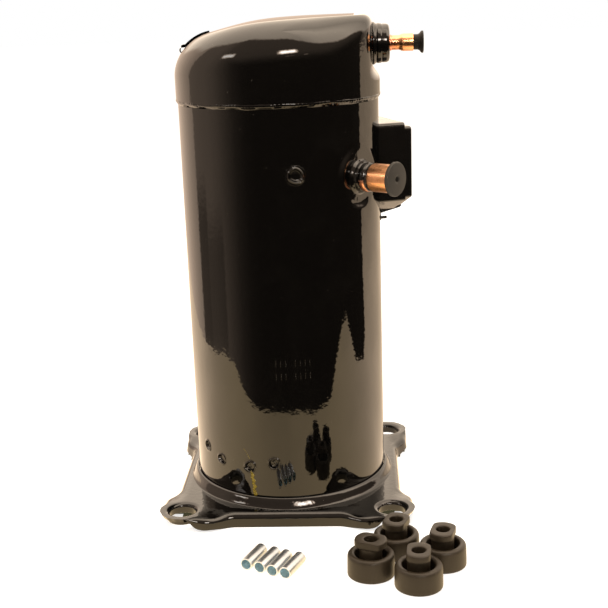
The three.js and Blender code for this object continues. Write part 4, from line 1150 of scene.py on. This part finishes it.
edge_el = W.curve(deg, [(-180, 10), (-150, 12), (-135, 26), (-120, 29), (-112, 38), (-100, 43), (-90, 48), (-78, 54), (-66, 62), (-54, 64), (-30, 65), (0, 64), (18, 62), (28, 57),
                        (36, 50), (44, 44), (50, 40), (56, 36), (62, 32.5), (70, 27), (80, 25.5), (90, 24.5), (97, 20), (105, 14), (112, 4), (118, 0), (180, 0)])
rise = W.math("DIVIDE", W.math("SUBTRACT", el, 30.0), 45.0, clamp=True)
peak = W.curve(deg, [(-180, 2.2), (40, 2.4), (56, 3.6), (84, 4.6), (100, 3.2), (120, 1.7), (168, 1.8), (180, 2.2)])
grow = W.curve(deg, [(-180, 1.6), (40, 1.4), (84, 0.6), (120, 1.4), (180, 1.6)])
high = W.math("MULTIPLY_ADD", rise, grow, peak)
upness = W.ramp(W.math("SUBTRACT", el, edge_el), -3.2, 4.0)
env = W.math("ADD", W.math("MULTIPLY", high, upness), W.math("MULTIPLY", low, W.math("SUBTRACT", 1.0, upness)))
tint = W.mix(upness, (1.34, 1.0, 0.75), (1.22, 1.0, 0.78))


def window(a0, a1, e0, e1, soft=1.6):
    p = W.math("MULTIPLY", W.ramp(deg, a0 - soft, a0 + soft), W.ramp(deg, a1 - soft, a1 + soft, 1.0, 0.0))
    return W.math("MULTIPLY", p, W.math("MULTIPLY", W.ramp(el, e0 - soft, e0 + soft), W.ramp(el, e1 - soft, e1 + soft, 1.0, 0.0)))


env = W.math("MULTIPLY", env, W.math("MULTIPLY_ADD", window(-111, -94, -18, -9.5), -0.55, 1.0))
env = W.math("MULTIPLY", env, W.math("MULTIPLY_ADD", window(-94, -70, -18, -11), -0.45, 1.0))
box_a, box_b = window(6, 25, 19, 26, 3.4), window(-69, -53, 23.5, 29, 3.0)
env = W.math("MULTIPLY_ADD", box_a, 30.0, env)
env = W.math("MULTIPLY_ADD", box_b, 10.0, env)
env = W.math("MULTIPLY_ADD", window(34, 38, 9, 11, 0.8), 1.4, env)
env = W.math("MULTIPLY_ADD", window(13, 23, 9, 11, 0.8), 0.5, env)
tint = W.mix(W.math("MAXIMUM", box_a, box_b), tint, (1.04, 1.0, 0.94))
bg_g = W.node("Background")
W.t.links.new(tint, bg_g.inputs[0])
W.t.links.new(env, bg_g.inputs[1])
bg_c = W.node("Background", Color=(1, 1, 1, 1), Strength=1.0)
bg_d = W.node("Background", Color=(1.0, 0.86, 0.70, 1), Strength=0.55)
lp = W.t.nodes.new("ShaderNodeLightPath")
m1 = W.t.nodes.new("ShaderNodeMixShader")
W.t.links.new(lp.outputs["Is Glossy Ray"], m1.inputs[0])
W.t.links.new(bg_d.outputs[0], m1.inputs[1])
W.t.links.new(bg_g.outputs[0], m1.inputs[2])
m2 = W.t.nodes.new("ShaderNodeMixShader")
W.t.links.new(lp.outputs["Is Camera Ray"], m2.inputs[0])
W.t.links.new(m1.outputs[0], m2.inputs[1])
W.t.links.new(bg_c.outputs[0], m2.inputs[2])
W.t.links.new(m2.outputs[0], W.out.inputs[0])


def area(name, loc, target, size, size_y, power, color=(1, 1, 1), glossy=True):
    l = bpy.data.lights.new(name, "AREA")
    l.shape, l.size, l.size_y, l.energy, l.color = "RECTANGLE", size, size_y, power, color
    o = bpy.data.objects.new(name, l)
    o.location = loc
    o.rotation_mode = "QUATERNION"
    o.rotation_quaternion = (Vector(target) - Vector(loc)).to_track_quat("-Z", "Y")
    o.visible_glossy = glossy
    bpy.context.scene.collection.objects.link(o)
    return o


area("key", (-0.5, -1.0, 2.0), (0, -0.05, 0.2), 1.2, 1.2, 26, (1.0, 0.90, 0.78), glossy=False)
area("top", (0.3, 0.6, 2.2), (0, 0, 0.2), 1.6, 1.6, 22, (1.0, 0.92, 0.82), glossy=False)
cam = bpy.data.objects.new("camera", bpy.data.cameras.new("camera"))
bpy.context.scene.collection.objects.link(cam)
cam.data.sensor_width = 36
cam.data.lens = 66.824
cam.data.clip_start, cam.data.clip_end = 0.02, 60
R = Vector((0.998565, 0.042336, -0.032796))
U = Vector((0.020443, 0.264694, 0.964116))
Fw = Vector((-0.049498, 0.963403, -0.263448))
m = Matrix.Identity(4)
for i in range(3):
    m[i][0], m[i][1], m[i][2] = R[i], U[i], -Fw[i]
m[0][3], m[1][3], m[2][3] = 0.07006, -1.03246, 0.46159
cam.matrix_world = m
bpy.context.scene.camera = cam
bpy.context.scene.view_settings.view_transform = "Standard"
bpy.context.scene.view_settings.look = "None"
